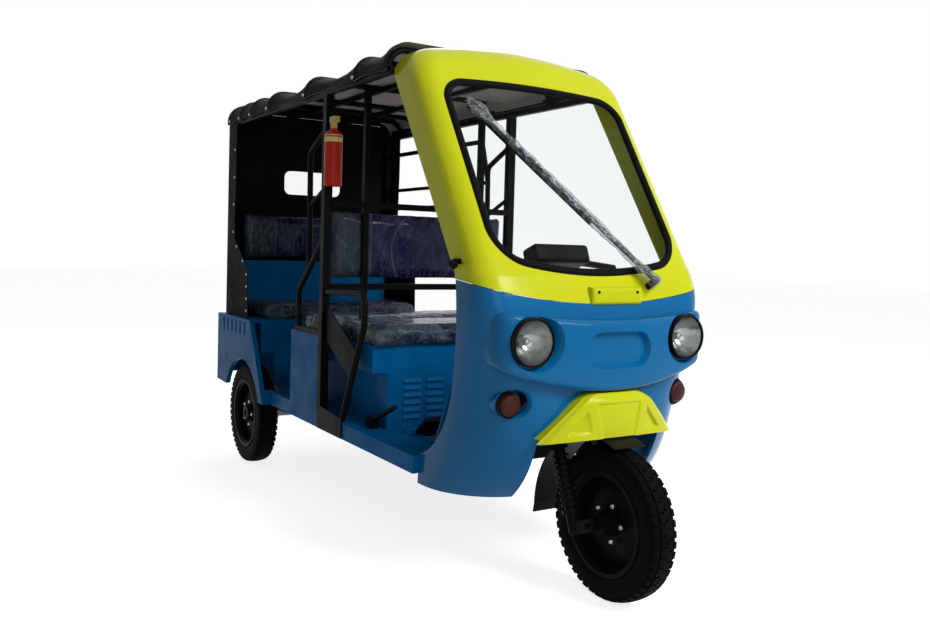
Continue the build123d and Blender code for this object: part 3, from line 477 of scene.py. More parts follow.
def rowAt(height):
    rows = cabLook["rows"]
    values = []
    for column in (1, 2, 3):
        total = 0.0
        for row in rows:
            weight = row[column]
            for other in rows:
                if other is not row:
                    weight *= (height - other[0]) / (row[0] - other[0])
            total += weight
        values.append(total)
    return values


def skinPoint(u, height):
    nose, corner, half = rowAt(height)
    sideEnd, cornerEnd, middle = cabLook["columns"]
    walked = u * 2 * middle
    mirrored = walked > middle
    if mirrored:
        walked = 2 * middle - walked
    if walked < sideEnd:
        x, back = -half, cabLook["back"] + (nose + corner - cabLook["back"]) * walked / sideEnd
    elif walked < cornerEnd:
        angle = math.pi / 2 * (walked - sideEnd) / (cornerEnd - sideEnd)
        x, back = corner * (1 - math.cos(angle)) - half, nose + corner * (1 - math.sin(angle))
    else:
        x, back = (corner - half) * (middle - walked) / (middle - cornerEnd), nose
    return (-x if mirrored else x, at(back), height)


def skinFront(x, height):
    nose, corner, half = rowAt(height)
    past = min(max(abs(x) - (half - corner), 0.0), corner)
    return nose + corner - math.sqrt(corner * corner - past * past)


def closeHoles(piece):
    editAll(piece, (bpy.ops.mesh.fill_holes, {"sides": 0}), outward)


def plug(name, near, far):
    count = len(near)

    def shape(u, v):
        corner = round(u * count) % count
        return Vector(near[corner]).lerp(Vector(far[corner]), v)

    piece = gridPiece(name, count, 1, shape)
    closeHoles(piece)
    return piece


def sideCutter(name, outline):
    reach = cabLook["reach"]
    return plug(name, [(-reach, y, z) for y, z in outline], [(reach, y, z) for y, z in outline])


def ring(x, y, z, radius, steps=44):
    turns = [math.tau * step / steps for step in range(steps)]
    return [(x + radius * math.cos(turn), y, z + radius * math.sin(turn)) for turn in turns]


def roundedBox(half, tall, corner, steps=10):
    points = []
    for quarter, (side, up) in enumerate(((1, 1), (-1, 1), (-1, -1), (1, -1))):
        for step in range(steps + 1):
            angle = math.pi / 2 * (quarter + step / steps)
            x = side * (half - corner) + corner * math.cos(angle)
            points.append((x, up * (tall - corner) + corner * math.sin(angle)))
    return points


def cut(piece, cutter, keep=False):
    apply(piece, "BOOLEAN", object=cutter, operation="DIFFERENCE", solver="EXACT")
    if not keep:
        bpy.data.objects.remove(cutter)


def choose(piece, kind, test):
    pick(piece)
    mesh = piece.data
    for group in (mesh.vertices, mesh.edges, mesh.polygons):
        group.foreach_set("select", [False] * len(group))
    for item in mesh.edges if kind == "EDGE" else mesh.polygons:
        item.select = test(item)
    bpy.context.tool_settings.mesh_select_mode = (False, kind == "EDGE", kind == "FACE")
    bpy.ops.object.mode_set(mode="EDIT")


def chooseEdges(piece, keys, least):  # those that rise above a height
    spots = piece.data.vertices

    def test(edge):
        return edge.key in keys and max(spots[end].co.z for end in edge.vertices) > least

    choose(piece, "EDGE", test)


def bend(spots, steps=14):  # a curve through three spots
    points = []
    for step in range(1, steps + 1):
        t = step / steps
        weights = ((1 - t) * (1 - 2 * t), 4 * t * (1 - t), t * (2 * t - 1))
        points.append([sum(w * spot[axis] for w, spot in zip(weights, spots)) for axis in (0, 1)])
    return points


def doorOutline():
    look = doorLook
    outline = [*look["top"], *bend(look["pillar"]), *bend(look["sill"]), *look["rear"]]
    return [(at(back), height) for back, height in outline]


def seamCutter(above):
    back, height = cabLook["seam"]
    edge = cabLook["seamGap"] * (-1 if above else 1)
    low, high = cabLook["seamLimits"]
    limit = high if above else low
    rise = math.tan(cabLook["seamSlope"])
    steps = cabLook["seamSteps"]
    across = [cabLook["reach"] * step / steps for step in range(-steps, steps + 1)]

    def outline(place):
        base = height + edge + rise * (place - back)
        line = [(x, at(place), base + cabLook["seamSmile"] * x * x) for x in across]
        return [*line, (across[-1], at(place), limit), (across[0], at(place), limit)]

    return plug("seam_cutter", *(outline(end) for end in cabLook["seamEnds"]))


def onScreen(x, up, out=0.0):
    lean = screenLook["lean"]
    y = at(screenLook["nose"]) + up * math.sin(lean) - out * math.cos(lean)
    return (x, y, cabLook["foot"] + up * math.cos(lean) + out * math.sin(lean))


def screenOutline(inset):
    look = screenLook
    half = look["half"] - inset
    points = []
    drops = {}
    for key in ("low", "high"):
        radius = look[key + "Radius"]
        drops[key] = (radius, math.sqrt(radius * radius - half * half))
    low = look["low"] + inset + drops["low"][0] - drops["low"][1]
    high = look["high"] - inset - drops["high"][0] + drops["high"][1]
    corners = (  # side, height, corner radius, first turn
        (1, low, look["lowCorner"], -0.5), (1, high, look["highCorner"], 0.0),
        (-1, high, look["highCorner"], 0.5), (-1, low, look["lowCorner"], 1.0),
    )
    for side, height, corner, turn in corners:
        radius = corner - inset
        middle = height + radius if height == low else height - radius
        for step in range(look["steps"] + 1):
            angle = math.pi * (turn + 0.5 * step / look["steps"])
            x = side * (half - radius) + radius * math.cos(angle)
            points.append((x, middle + radius * math.sin(angle)))
        if turn in (0.0, 1.0):  # along the top and bottom edges
            start = half - radius
            inner = [side * start * (1 - 2 * step / 24) for step in range(1, 24)]
            points += [(x, height) for x in inner]
    shifted = []
    for x, up in points:
        key = "low" if up < (low + high) / 2 else "high"
        sag = math.sqrt(max(0.0, drops[key][0] ** 2 - x * x)) - drops[key][1]
        shifted.append((x, up - sag if key == "low" else up + sag))
    return shifted


def archOutline(back):
    half, corner, crown = cabLook["half"], cabLook["corner"], cabLook["crown"]
    centre = cabLook["roof"] - crown
    lift = centre + math.sqrt((crown - corner) ** 2 - (half - corner) ** 2)
    turn = math.atan2(lift - centre, half - corner)
    points = [(half, cabLook["foot"]), (half, lift)]
    for step in range(1, 11):
        angle = turn * step / 10
        points.append((half - corner + corner * math.cos(angle), lift + corner * math.sin(angle)))
    for step in range(1, 15):
        angle = turn + (math.pi / 2 - turn) * step / 14
        points.append((crown * math.cos(angle), centre + crown * math.sin(angle)))
    points += [(-x, z) for x, z in reversed(points[:-1])]
    return [(x, at(back), z) for x, z in points]


def makeShell(name):

    def shape(u, v):
        return skinPoint(u, between((cabLook["low"], cabLook["foot"]), v))

    shell = gridPiece(name, 2 * cabLook["columns"][2], cabLook["skinRows"], shape)
    front = min(shell.data.polygons, key=lambda face: face.center.y)
    if front.normal.y > 0:
        editAll(shell, (bpy.ops.mesh.flip_normals, {}))
    apply(shell, "SOLIDIFY", thickness=cabLook["wall"], offset=-1, use_even_offset=True)
    return shell


def makeRoofSkin():
    lean = screenLook["lean"]
    ahead = Vector((0, -math.cos(lean), math.sin(lean)))
    skin = plug("cab_roof_skin", archOutline(cabLook["roofFront"]), archOutline(cabLook["back"]))
    slope = {"plane_co": onScreen(0, 0), "plane_no": ahead, "use_fill": True, "clear_outer": True}
    editAll(skin, (bpy.ops.mesh.bisect, slope))
    front = max(skin.data.polygons, key=lambda face: face.area if face.normal.dot(ahead) > 0.99 else 0)
    chooseEdges(skin, set(front.edge_keys), cabLook["foot"] + cabLook["rimFoot"])
    bpy.ops.mesh.bevel(offset=cabLook["rim"], segments=8, affect="EDGES")
    bpy.ops.object.mode_set(mode="OBJECT")
    apply(skin, "SOLIDIFY", thickness=cabLook["wall"], offset=-1, use_even_offset=True)
    inner = cabLook["half"] - cabLook["wall"]
    front = at(screenLook["nose"] + cabLook["footFront"])
    back = at(cabLook["back"] + cabLook["footBack"])
    corners = ((-inner, front), (inner, front), (inner, back), (-inner, back))
    near, far = ([(x, y, height) for x, y in corners] for height in cabLook["footCut"])
    cut(skin, plug("foot_cutter", near, far))
    near, far = ([onScreen(x, up, out) for x, up in screenOutline(0)] for out in screenLook["cut"])
    cut(skin, plug("screen_cutter", near, far))
    return skin


def bandPoint(u, v):
    look = bandLook
    x = (2 * u - 1) * look["half"]
    share = (x / look["half"]) ** 2
    low, high, front = (between(look[key], share) for key in ("low", "high", "nose"))
    past = max(0.0, abs(x) - (look["half"] - look["end"])) / look["end"]
    turned = 1 - math.sqrt(max(0.0, 1 - past * past))
    front += look["end"] * turned
    low += look["endLow"] * turned
    high -= look["endHigh"] * turned
    back = max(skinFront(x, look["sample"]) + look["lap"], front + look["least"])
    soft = min(look["round"], (back - front) * 0.48, (high - low) * 0.48)
    turns = [math.pi / 2 * step / 6 for step in range(7)]
    section = [(back, low)]
    section += [(front + soft - soft * math.sin(a), low + soft - soft * math.cos(a)) for a in turns]
    section += [(front + soft - soft * math.cos(a), high - soft + soft * math.sin(a)) for a in turns]
    section.append((back, high))
    spot = section[round(v * len(section)) % len(section)]
    return (x, at(spot[0]), spot[1])


def scoop(side, kind):
    lamp = lampLook[kind]
    near = ring(side * (lamp["x"] - lamp["shift"]), at(lampLook["front"]), lamp["z"], lamp["wide"])
    return plug("lamp_scoop", near, ring(side * lamp["x"], at(lamp["seat"]), lamp["z"], lamp["radius"]))


def footStrip(side):  # laps the joint under each pillar
    look = cabLook["strip"]
    columns, foot = 2 * cabLook["columns"][2], cabLook["foot"]

    def shape(u, v):
        x, y, z = skinPoint((6 + 20 * u) / columns, foot)
        height = foot - look["low"] + look["tall"] * v
        back = y - axle.y + look["inset"] + max(0.0, height - foot) * math.tan(screenLook["lean"])
        return (side * (look["inset"] - x), at(min(back, look["back"])), height)

    strip = gridPiece("foot_strip", 20, 2, shape)
    apply(strip, "SOLIDIFY", thickness=0.004, offset=0)
    return strip


def makeCab():
    blue = makeShell("cab_blue_skin")
    lime = makeShell("cab_lime_skin")
    roof = makeRoofSkin()
    door = sideCutter("door_cutter", doorOutline())
    cut(blue, seamCutter(True))
    cut(lime, seamCutter(False))
    for piece in (blue, lime, roof):
        cut(piece, door, True)
    bpy.data.objects.remove(door)
    arch = cabLook["arch"]
    ends = ((-1, arch["front"]), (1, arch["front"]), (1, arch["back"]), (-1, arch["back"]))
    gap = [(arch["half"] * side, at(end), arch["low"]) for side, end in ends]
    cut(blue, plug("arch_cutter", gap, [(x, y, arch["top"]) for x, y, z in gap]))
    band = gridPiece("lamp_band", bandLook["columns"], 16, bandPoint)
    closeHoles(band)
    half, tall, corner = bandLook["pill"]
    wider = bandLook["pillSlope"]
    middle = bandLook["pillHeight"]
    front, floor = (at(place) for place in bandLook["pillDepth"])
    near = [(x, front, middle + z) for x, z in roundedBox(half + wider, tall + wider, corner + wider)]
    far = [(x, floor, middle + z) for x, z in roundedBox(half, tall, corner)]
    cut(band, plug("pill_cutter", near, far))
    bosses = []
    for side in (-1, 1):
        cut(band, scoop(side, "head"))
        cut(blue, scoop(side, "signal"))
        lamp, bore = lampLook["head"], lampLook["bore"]
        ends = [ring(lamp["x"] * side, at(end), lamp["z"], bore) for end in lampLook["boreEnds"]]
        for piece in (band, blue):
            cut(piece, plug("bore_cutter", *ends))
        lamp = lampLook["signal"]
        wide = lamp["radius"] + lampLook["cupWall"]
        near = ring(lamp["x"] * side, at(lamp["seat"]), lamp["z"], wide)
        far = ring(lamp["x"] * side, at(lamp["seat"] + lampLook["cupDepth"]), lamp["z"], wide * 0.9)
        bosses.append(plug("signal_cup", near, far))
    blueCab = join([blue, band, *bosses], "cab_blue_moulding")
    settle(blueCab, "chassis", "blue_gelcoat", None, 32)
    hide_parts("cab_lower")
    limeCab = join([lime, roof, footStrip(-1), footStrip(1)], "cab_lime_moulding")
    settle(limeCab, "chassis", "lime_gelcoat", None, 32)
    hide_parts("cab_upper")


makeCab()
print("cab mouldings done")


# Windscreen and the rubber bead round it
def makeScreen():
    look = screenLook
    count = len(screenOutline(0))
    width = look["seal"]
    centre, sweep = look["bead"]

    def bead(u, v):
        angle = math.tau * v
        inset = width * (centre - sweep * math.cos(angle))
        raised = look["beadRise"] * math.sin(angle) - look["beadSunk"]
        x, up = screenOutline(max(inset, -look["beadReach"]))[round(u * count) % count]
        return onScreen(x, up, raised)

    seal = gridPiece("screen_seal_bead", count, look["rings"], bead)
    settle(seal, "chassis", "rubber", None, 60)
    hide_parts("windscreen_seal")
    edge = screenOutline(width * look["paneInset"])
    faces = (-look["paneDepth"], -look["paneDepth"] - look["glass"])
    glass = plug("screen_pane", *([onScreen(x, up, out) for x, up in edge] for out in faces))
    settle(glass, "chassis", "screen_glass", None, 30)
    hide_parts("windscreen")


makeScreen()
print("windscreen done")

# Peaked visor over the front wheel
visorLook = {
    "heights": (0.510, 0.646), "halves": (0.274, 0.118), "nose": (-0.022, 0.030), "droop": 0.012,
    "shoulder": 0.3, "shoulderIn": 0.034, "shoulderBack": 0.020, "edge": 0.88, "edgeBack": 0.012,
    "panel": (0.066, 0.030), "panelTop": 0.80, "panelDepth": 0.005,
    "scoop": ((0.098, 0.03), (0.205, -0.13)), "scoopRows": (0.12, 0.66), "scoopDepth": 0.011,
    "rowScale": 0.12, "lip": 0.012, "skirt": 0.062, "sheet": 0.007, "columns": 120, "rows": 48,
}


def smooth(value, low, high):
    share = min(max((value - low) / (high - low), 0.0), 1.0)
    return share * share * (3 - 2 * share)


def visorPoint(u, v):
    look = visorLook
    height, taper = between(look["heights"], v), between(look["halves"], v)
    past = max(0.0, v - (1 - look["shoulder"])) / look["shoulder"]
    half = taper - look["shoulderIn"] * (1 - math.sqrt(max(0.0, 1 - past ** 2.4)))
    share = 2 * u - 1
    x = share * half
    aside = (x / look["halves"][0]) ** 2
    back = between(look["nose"], aside)
    back += look["shoulderBack"] * past ** 2.2 + look["edgeBack"] * smooth(abs(share), look["edge"], 1.0)
    panelHalf = look["panel"][0] + look["panel"][1] * v
    panel = smooth(panelHalf - abs(x), 0.0, 0.006) * smooth(look["panelTop"] - v, 0.0, 0.05)
    inner, outer = (start + slope * v for start, slope in look["scoop"])
    first, last = look["scoopRows"]
    inRows = min((v - first) * look["rowScale"], (last - v) * look["rowScale"])
    scoopEdge = min(abs(x) - inner, (outer - abs(x)) * 0.8, inRows)
    hollow = smooth(scoopEdge, 0.0, 0.008) * (0.35 + 0.65 * smooth(abs(x), inner, outer))
    back += look["panelDepth"] * panel + look["scoopDepth"] * hollow
    return (x, at(back), height - look["droop"] * aside * (1 - v))


def makeVisor():
    visor = gridPiece("lime_visor", visorLook["columns"], visorLook["rows"], visorPoint)
    front = min(visor.data.polygons, key=lambda face: face.center.y)
    turned = front.normal.y > 0
    ends = {}
    for face in visor.data.polygons:
        for key in face.edge_keys:
            ends[key] = ends.get(key, 0) + 1
    openEdges = {key for key, uses in ends.items() if uses == 1}
    chooseEdges(visor, openEdges, visorLook["heights"][0] + 0.0015)
    for deep in (visorLook["lip"], visorLook["skirt"]):
        bpy.ops.mesh.extrude_edges_move(TRANSFORM_OT_translate={"value": (0, deep, 0)})
    if turned:
        bpy.ops.mesh.select_all(action="SELECT")
        bpy.ops.mesh.flip_normals()
    bpy.ops.object.mode_set(mode="OBJECT")
    apply(visor, "SOLIDIFY", thickness=visorLook["sheet"], offset=-1)
    settle(visor, "chassis", "lime_gelcoat", None, 40)
    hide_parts("front_visor")


makeVisor()
print("visor done")

# Tyres with block tread
tyreLook = {
    "pitches": 46, "perPitch": 6, "depth": 0.005, "treadStart": 0.2225, "edge": 0.0009,
    "shoulder": (0.0275, 0.0425), "mid": (0.005, 0.0225),
    "wave": 0.012, "waveRate": 150, "waveStart": 0.226,
}
tyreSection = [  # offset from the middle, radius
    (0.0335, 0.1520), (0.0390, 0.1545), (0.0425, 0.1620), (0.0440, 0.1700), (0.0456, 0.1706),
    (0.0462, 0.1735), (0.0448, 0.1742), (0.0466, 0.1830), (0.0472, 0.1950), (0.0462, 0.2080),
    (0.0438, 0.2180), (0.0412, 0.2245), (0.0400, 0.2270), (0.0345, 0.2300), (0.0270, 0.2318),
    (0.0225, 0.2328), (0.0150, 0.2337), (0.0050, 0.2345),
]


def blockHere(offset, turn):
    count = tyreLook["perPitch"]
    step = (turn * tyreLook["pitches"] * count) % count
    inner, outer = tyreLook["shoulder"]
    start, end = tyreLook["mid"]
    if inner < offset < outer:
        return step < 4
    if inner < -offset < outer:
        return (step + 3) % count < 4
    if start < abs(offset) < end:
        return (step + (1.5 if offset > 0 else 4.5)) % count < 5
    return abs(offset) < start and step < 5.5


def makeTyre(node, body):
    low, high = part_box(node)
    middle = (low + high) / 2
    section = tyreSection + [(-offset, radius) for offset, radius in reversed(tyreSection)]
    around = tyreLook["pitches"] * tyreLook["perPitch"]

    def shape(u, v):
        offset, radius = section[min(round(v * (len(section) - 1)), len(section) - 1)]
        wave = tyreLook["wave"] * math.sin(offset * tyreLook["waveRate"])
        angle = u * math.tau + (wave if radius > tyreLook["waveStart"] else 0)
        return (middle.x + offset, middle.y + radius * math.cos(angle), middle.z + radius * math.sin(angle))

    tyre = gridPiece(node + "_tread", around, len(section) - 1, shape)

    def raised(face):
        away = face.center - middle
        turn = (math.atan2(away.z, away.y) / math.tau) % 1.0
        return math.hypot(away.y, away.z) > tyreLook["treadStart"] and blockHere(away.x, turn)

    choose(tyre, "FACE", raised)
    bpy.ops.mesh.extrude_region_shrink_fatten(TRANSFORM_OT_shrink_fatten={"value": tyreLook["depth"]})
    bpy.ops.object.mode_set(mode="OBJECT")
    limit = math.radians(50)
    apply(tyre, "BEVEL", width=tyreLook["edge"], segments=1, limit_method="ANGLE", angle_limit=limit)
    settle(tyre, body, "tyre", None, 30)
    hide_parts(node)
    return tyre


makeTyre("front_tyre", "front_wheel")
makeTyre("rear_tyre_right", "rear_wheel_right")
makeTyre("rear_tyre_left", "rear_wheel_left")
print("tyres done")


# Canvas roof, drawn over the bows
roofLook = {
    "bows": (-0.420, -0.172, 0.322, 0.781, 1.028, 1.195, 1.345),
    "half": 0.4715, "top": 1.7955, "edge": 1.6885, "corner": 0.088,
    "sag": 0.05, "sideSag": 0.018, "scallop": 0.010, "longSpan": 0.45, "crease": 0.0025,
    "thick": 0.003, "mesh": (84, 220), "liningTilt": -0.35,
}


def betweenBows(along):
    bows = roofLook["bows"]
    for front, back in zip(bows, bows[1:]):
        if front <= along <= back:
            share = (along - front) / (back - front)
            return math.sin(math.pi * share) ** 0.7, back - front
    return 0.0, 0.1


def roofPoint(across, along):
    half, top, edge, corner = (roofLook[key] for key in ("half", "top", "edge", "corner"))
    upright = top - corner - edge
    arc = corner * math.pi / 2
    flat = 2 * (half - corner)
    walked = across * (2 * upright + 2 * arc + flat)
    mirrored = walked > upright + arc + flat / 2
    if mirrored:
        walked = 2 * upright + 2 * arc + flat - walked
    drop, span = betweenBows(along)
    if walked < upright:
        lift = roofLook["scallop"] * drop * (1 - walked / upright)
        x, z, inward, down = -half, edge + walked + lift, roofLook["sideSag"] * 0.5, 0.0
    elif walked < upright + arc:
        angle = (walked - upright) / corner
        x = corner - half - corner * math.cos(angle)
        z = top - corner + corner * math.sin(angle)
        inward = roofLook["sideSag"] * math.cos(angle)
        down = roofLook["sag"] * math.sin(angle) * 0.9
    else:
        x, z, inward = corner - half + walked - upright - arc, top, 0.0
        down = roofLook["sag"] * (0.55 + 0.35 * abs(x) / half)
    slack = drop * min(span / roofLook["longSpan"], 1.0)
    crease = noise.noise(Vector((x * 7, along * 16, z * 7))) * roofLook["crease"] * drop
    x += inward * slack
    z -= down * slack - crease
    return (-x if mirrored else x, along, z)


def makeRoof():
    low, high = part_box("roof_canopy")

    def shape(u, v):
        return roofPoint(u, between((low.y, high.y - 0.001), v))

    roof = gridPiece("canvas_roof", *roofLook["mesh"], shape)
    sheet = {"thickness": roofLook["thick"], "offset": -1}
    apply(roof, "SOLIDIFY", **sheet, material_offset=1, material_offset_rim=0)
    roof.data.materials.append(finishes["canvas"])
    # Faces turned downward take the pale lining colour, lightened as painted bounce light
    roof.data.materials.append(paleLiningAndBounceLight)
    for face in roof.data.polygons:
        face.material_index = 1 if face.normal.z < roofLook["liningTilt"] else 0
    settle(roof, "chassis", "canvas", None, 60)
    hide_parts("roof_canopy")


# Underside colour of the canvas roof: a pale lining, raised as painted bounce light from below
paleLiningAndBounceLight = canvasCloth("canvasLiningAndBounceLight", colour(196, 188, 178), colour(168, 160, 152))
makeRoof()
print("canvas roof done")

# Rear curtain with its two wings
curtainLook = {
    "wing": 0.467, "back": 1.3635, "low": 0.706, "high": 1.6895, "crown": 1.762, "crownCorner": 0.075,
    "front": ((0.705, 1.006), (0.945, 1.016), (1.095, 1.238), (1.690, 1.230)),  # height, depth
    "thick": 0.0035, "wave": 0.003, "hem": 0.06, "wingHem": 0.0015, "backHem": 0.002,
    "wingMesh": (30, 110), "backMesh": (168, 46),
}
windowLook = {"half": 0.163, "low": 1.345, "high": 1.472, "corner": 0.034}


def wingFront(height):
    rows = curtainLook["front"]
    for (lower, start), (upper, end) in zip(rows, rows[1:]):
        if height <= upper:
            return between((start, end), max(0.0, (height - lower) / (upper - lower)))
    return rows[-1][1]


def roundedRing(share, half, low, high, lowCorner, highCorner):
    angle = share * math.tau
    ray = Vector((math.cos(angle), math.sin(angle)))
    middle = (low + high) / 2
    tall = (high - low) / 2
    scale = min(half / max(abs(ray.x), 1e-6), tall / max(abs(ray.y), 1e-6))
    spot = ray * scale
    corner = highCorner if ray.y > 0 else lowCorner
    inner = Vector((half - corner, tall - corner))
    if abs(spot.x) > inner.x and abs(spot.y) > inner.y and corner > 0:
        start = Vector((math.copysign(inner.x, spot.x), math.copysign(inner.y, spot.y)))
        along = ray.dot(start)
        reach = along + math.sqrt(max(0.0, along * along - start.length_squared + corner * corner))
        spot = ray * reach
    return spot.x, middle + spot.y


def makeCurtain():
    low, high, crown = curtainLook["low"], curtainLook["high"], curtainLook["crown"]
    parts = []
    for side in (-1, 1):

        def wing(u, v):
            height = between((low, high), v)
            depth = between((wingFront(height), curtainLook["back"]), u)
            ripple = noise.noise(Vector((side, depth * 5, height * 3))) * curtainLook["wave"]
            hem = curtainLook["wingHem"] if u < curtainLook["hem"] else 0.0
            return (side * (curtainLook["wing"] + ripple * (1 - u) + hem), depth, height)

        parts.append(gridPiece("curtain_wing", *curtainLook["wingMesh"], wing))

    def back(u, v):
        hole = roundedRing(u, *(windowLook[key] for key in ("half", "low", "high", "corner", "corner")))
        edge = roundedRing(u, curtainLook["wing"], low, crown, 0.001, curtainLook["crownCorner"])
        share = v ** 1.3
        x, z = (between(ends, share) for ends in zip(hole, edge))
        ripple = noise.noise(Vector((x * 4, 7, z * 3))) * curtainLook["wave"] * min(v * 4, (1 - v) * 4, 1)
        hem = curtainLook["backHem"] if v < curtainLook["hem"] else 0.0
        return (x, curtainLook["back"] - ripple - hem, z)

    parts.append(gridPiece("curtain_back", *curtainLook["backMesh"], back))
    curtain = join(parts, "rear_canvas")
    apply(curtain, "SOLIDIFY", thickness=curtainLook["thick"], offset=0)
    settle(curtain, "chassis", "canvas", None, 50)
    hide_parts("rear_curtain")


makeCurtain()
print("rear curtain done")

# Film-wrapped cushions, blown up from plain blocks
padTable = [  # node, finish, rest side axis, rest side sign, crease height
    ("driver_seat_cushion", "seatPad", 2, -1, 0.0026),
    ("middle_seat_cushion", "seatPad", 2, -1, 0.0026),
    ("rear_seat_cushion", "seatPad", 2, -1, 0.0024),
    ("driver_backrest", "backPad", 1, 1, 0.0012),
    ("middle_backrest", "backPad", 1, -1, 0.0012),
    ("rear_backrest", "backPad", 1, 1, 0.0014),
]
padLook = {
    "shrink": 0.006, "bevel": 0.014, "voxel": 0.011, "pressure": 4.0, "frames": 14, "cap": 0.013,
    "proud": 0.007, "endProud": 0.001, "sunk": 0.0005,
}
padFinishes = {
    "seatPad": wrappedVinyl("wrappedSeat", 0.245, greyBlue, navy, noSweep, seatFilm),
    "backPad": wrappedVinyl("wrappedBack", 0.245, greyBlue, navy, backSweep, backFilm),
}


def inflate(pad):
    start = [vertex.co.copy() for vertex in pad.data.vertices]
    pick(pad)
    cloth = pad.modifiers.new("cloth", "CLOTH")
    cloth.settings.quality = 4
    cloth.settings.mass = 0.25
    cloth.settings.tension_stiffness = 14
    cloth.settings.compression_stiffness = 14
    cloth.settings.bending_stiffness = 0.4
    cloth.settings.use_pressure = True
    cloth.settings.uniform_pressure_force = padLook["pressure"]
    cloth.settings.effector_weights.gravity = 0
    cloth.point_cache.frame_start = 1
    cloth.point_cache.frame_end = padLook["frames"]
    for step in range(1, padLook["frames"] + 1):
        bpy.context.scene.frame_set(step)
    bpy.ops.object.modifier_apply(modifier=cloth.name)
    bpy.context.scene.frame_set(1)
    for vertex, first in zip(pad.data.vertices, start):
        moved = vertex.co - first
        if moved.length > padLook["cap"]:
            vertex.co = first + moved * (padLook["cap"] / moved.length)


def makePad(node, finish, restAxis, restSign, crease):
    low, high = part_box(node)
    middle = (low + high) / 2
    size = high - low - Vector((1, 1, 1)) * 2 * padLook["shrink"]
    pad = block(node + "_wrapped", size, middle, padLook["bevel"], 3)
    apply(pad, "REMESH", mode="VOXEL", voxel_size=padLook["voxel"])
    inflate(pad)
    apply(pad, "SUBSURF", levels=1, render_levels=1)
    limits = []
    for axis in range(3):
        proud = padLook["proud"] if axis else padLook["endProud"]
        ends = ((axis, -1), (axis, 1))
        below, above = (-padLook["sunk"] if end == (restAxis, restSign) else proud for end in ends)
        limits.append((low[axis] - below, high[axis] + above))
    normals = [vertex.normal.copy() for vertex in pad.data.vertices]
    for vertex, normal in zip(pad.data.vertices, normals):
        spot = vertex.co
        fold = noise.noise(Vector((spot.x * 16 + spot.z * 9, spot.y * 34, spot.z * 30 + 3)))
        ridge = (1 - abs(fold) * 2.4) if abs(fold) < 0.4 else 0.0
        swell = noise.noise(Vector((spot.x * 5, spot.y * 7, spot.z * 6 + 11)))
        vertex.co = spot + normal * crease * (ridge + swell)
        for axis, (least, most) in enumerate(limits):
            vertex.co[axis] = min(max(vertex.co[axis], least), most)
    settle(pad, "chassis", slotOf[node], padFinishes[finish], 70)
    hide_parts(node)


for padRow in padTable:
    makePad(*padRow)
print("cushions done")


# Lamps, turned on a lathe about their own axes
def dish(apex, bulge, inner, reach, steps):
    shares = [step / steps for step in range(steps, -1, -1)]
    return tuple((apex + bulge * share ** 2, inner + reach * share) for share in shares)


lampProfiles = {  # place behind the axle, radius
    "rim": (
        (0.034, 0.0745), (0.016, 0.0745), (0.012, 0.0730), (0.010, 0.0715), (0.012, 0.0690),
        (0.017, 0.0680), (0.034, 0.0680),
    ),
    "lens": dish(-0.006, 0.022, 0.0001, 0.0678, 10),
    "bowl": dish(0.079, -0.061, 0.004, 0.0632, 12),
    "bulb": ((0.079, 0.0110), (0.058, 0.0110), (0.052, 0.0085), (0.049, 0.0040), (0.0485, 0.0001)),
    "amber": (
        (0.1000, 0.0350), (0.084, 0.0350), (0.078, 0.0330), (0.074, 0.0270), (0.072, 0.0160),
        (0.0715, 0.0001),
    ),
    "cup": ((0.1005, 0.0415), (0.088, 0.0415), (0.085, 0.0390), (0.087, 0.0356), (0.1005, 0.0352)),
}
lampSteps = {"rim": 48, "lens": 48, "bowl": 48, "bulb": 24, "amber": 36, "cup": 36}
turnedTable = [  # piece, profiles, lamp, sheet, slot, smoothing angle, node that it stands for
    ("headlamp_bezels", ("rim",), "head", None, "black_plastic", 40, "headlamp_rims"),
    ("headlamp_domes", ("lens",), "head", 0.0025, "lamp_glass", 60, "headlamp_lenses"),
    ("headlamp_bowls", ("bowl", "bulb"), "head", 0.0015, "chrome", 40, "headlamp_reflectors"),
    ("signal_lenses", ("amber",), "signal", 0.002, "amber", 40, "turn_signals"),
    ("signal_rings", ("cup",), "signal", None, "black_plastic", 40, None),
]


def turned(key, side, lamp):
    profile = lampProfiles[key]

    def shape(u, v):
        back, radius = profile[round(v * (len(profile) - 1))]
        angle = math.tau * u
        return (side * lamp["x"] + radius * math.cos(angle), at(back), lamp["z"] + radius * math.sin(angle))

    return gridPiece(key, lampSteps[key], len(profile) - 1, shape)


def makeLamps():
    for name, keys, kind, sheet, slot, angle, node in turnedTable:
        lamps = join([turned(key, side, lampLook[kind]) for key in keys for side in (-1, 1)], name)
        if sheet:
            apply(lamps, "SOLIDIFY", thickness=sheet, offset=0)
        settle(lamps, "chassis", slot, None, angle)
        if node:
            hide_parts(node)


makeLamps()
print("lamps done")

# Crinkled film left on the wiper
filmLook = {
    "root": (0.205, -0.046), "tip": (-0.318, 0.652), "height": 0.030, "rings": 20, "lengths": 150,
    "swell": 0.0125, "rootSwell": 0.012, "tipSwell": 0.010, "middleSwell": 0.006,
    "thin": 0.007, "clear": 0.0075,
}


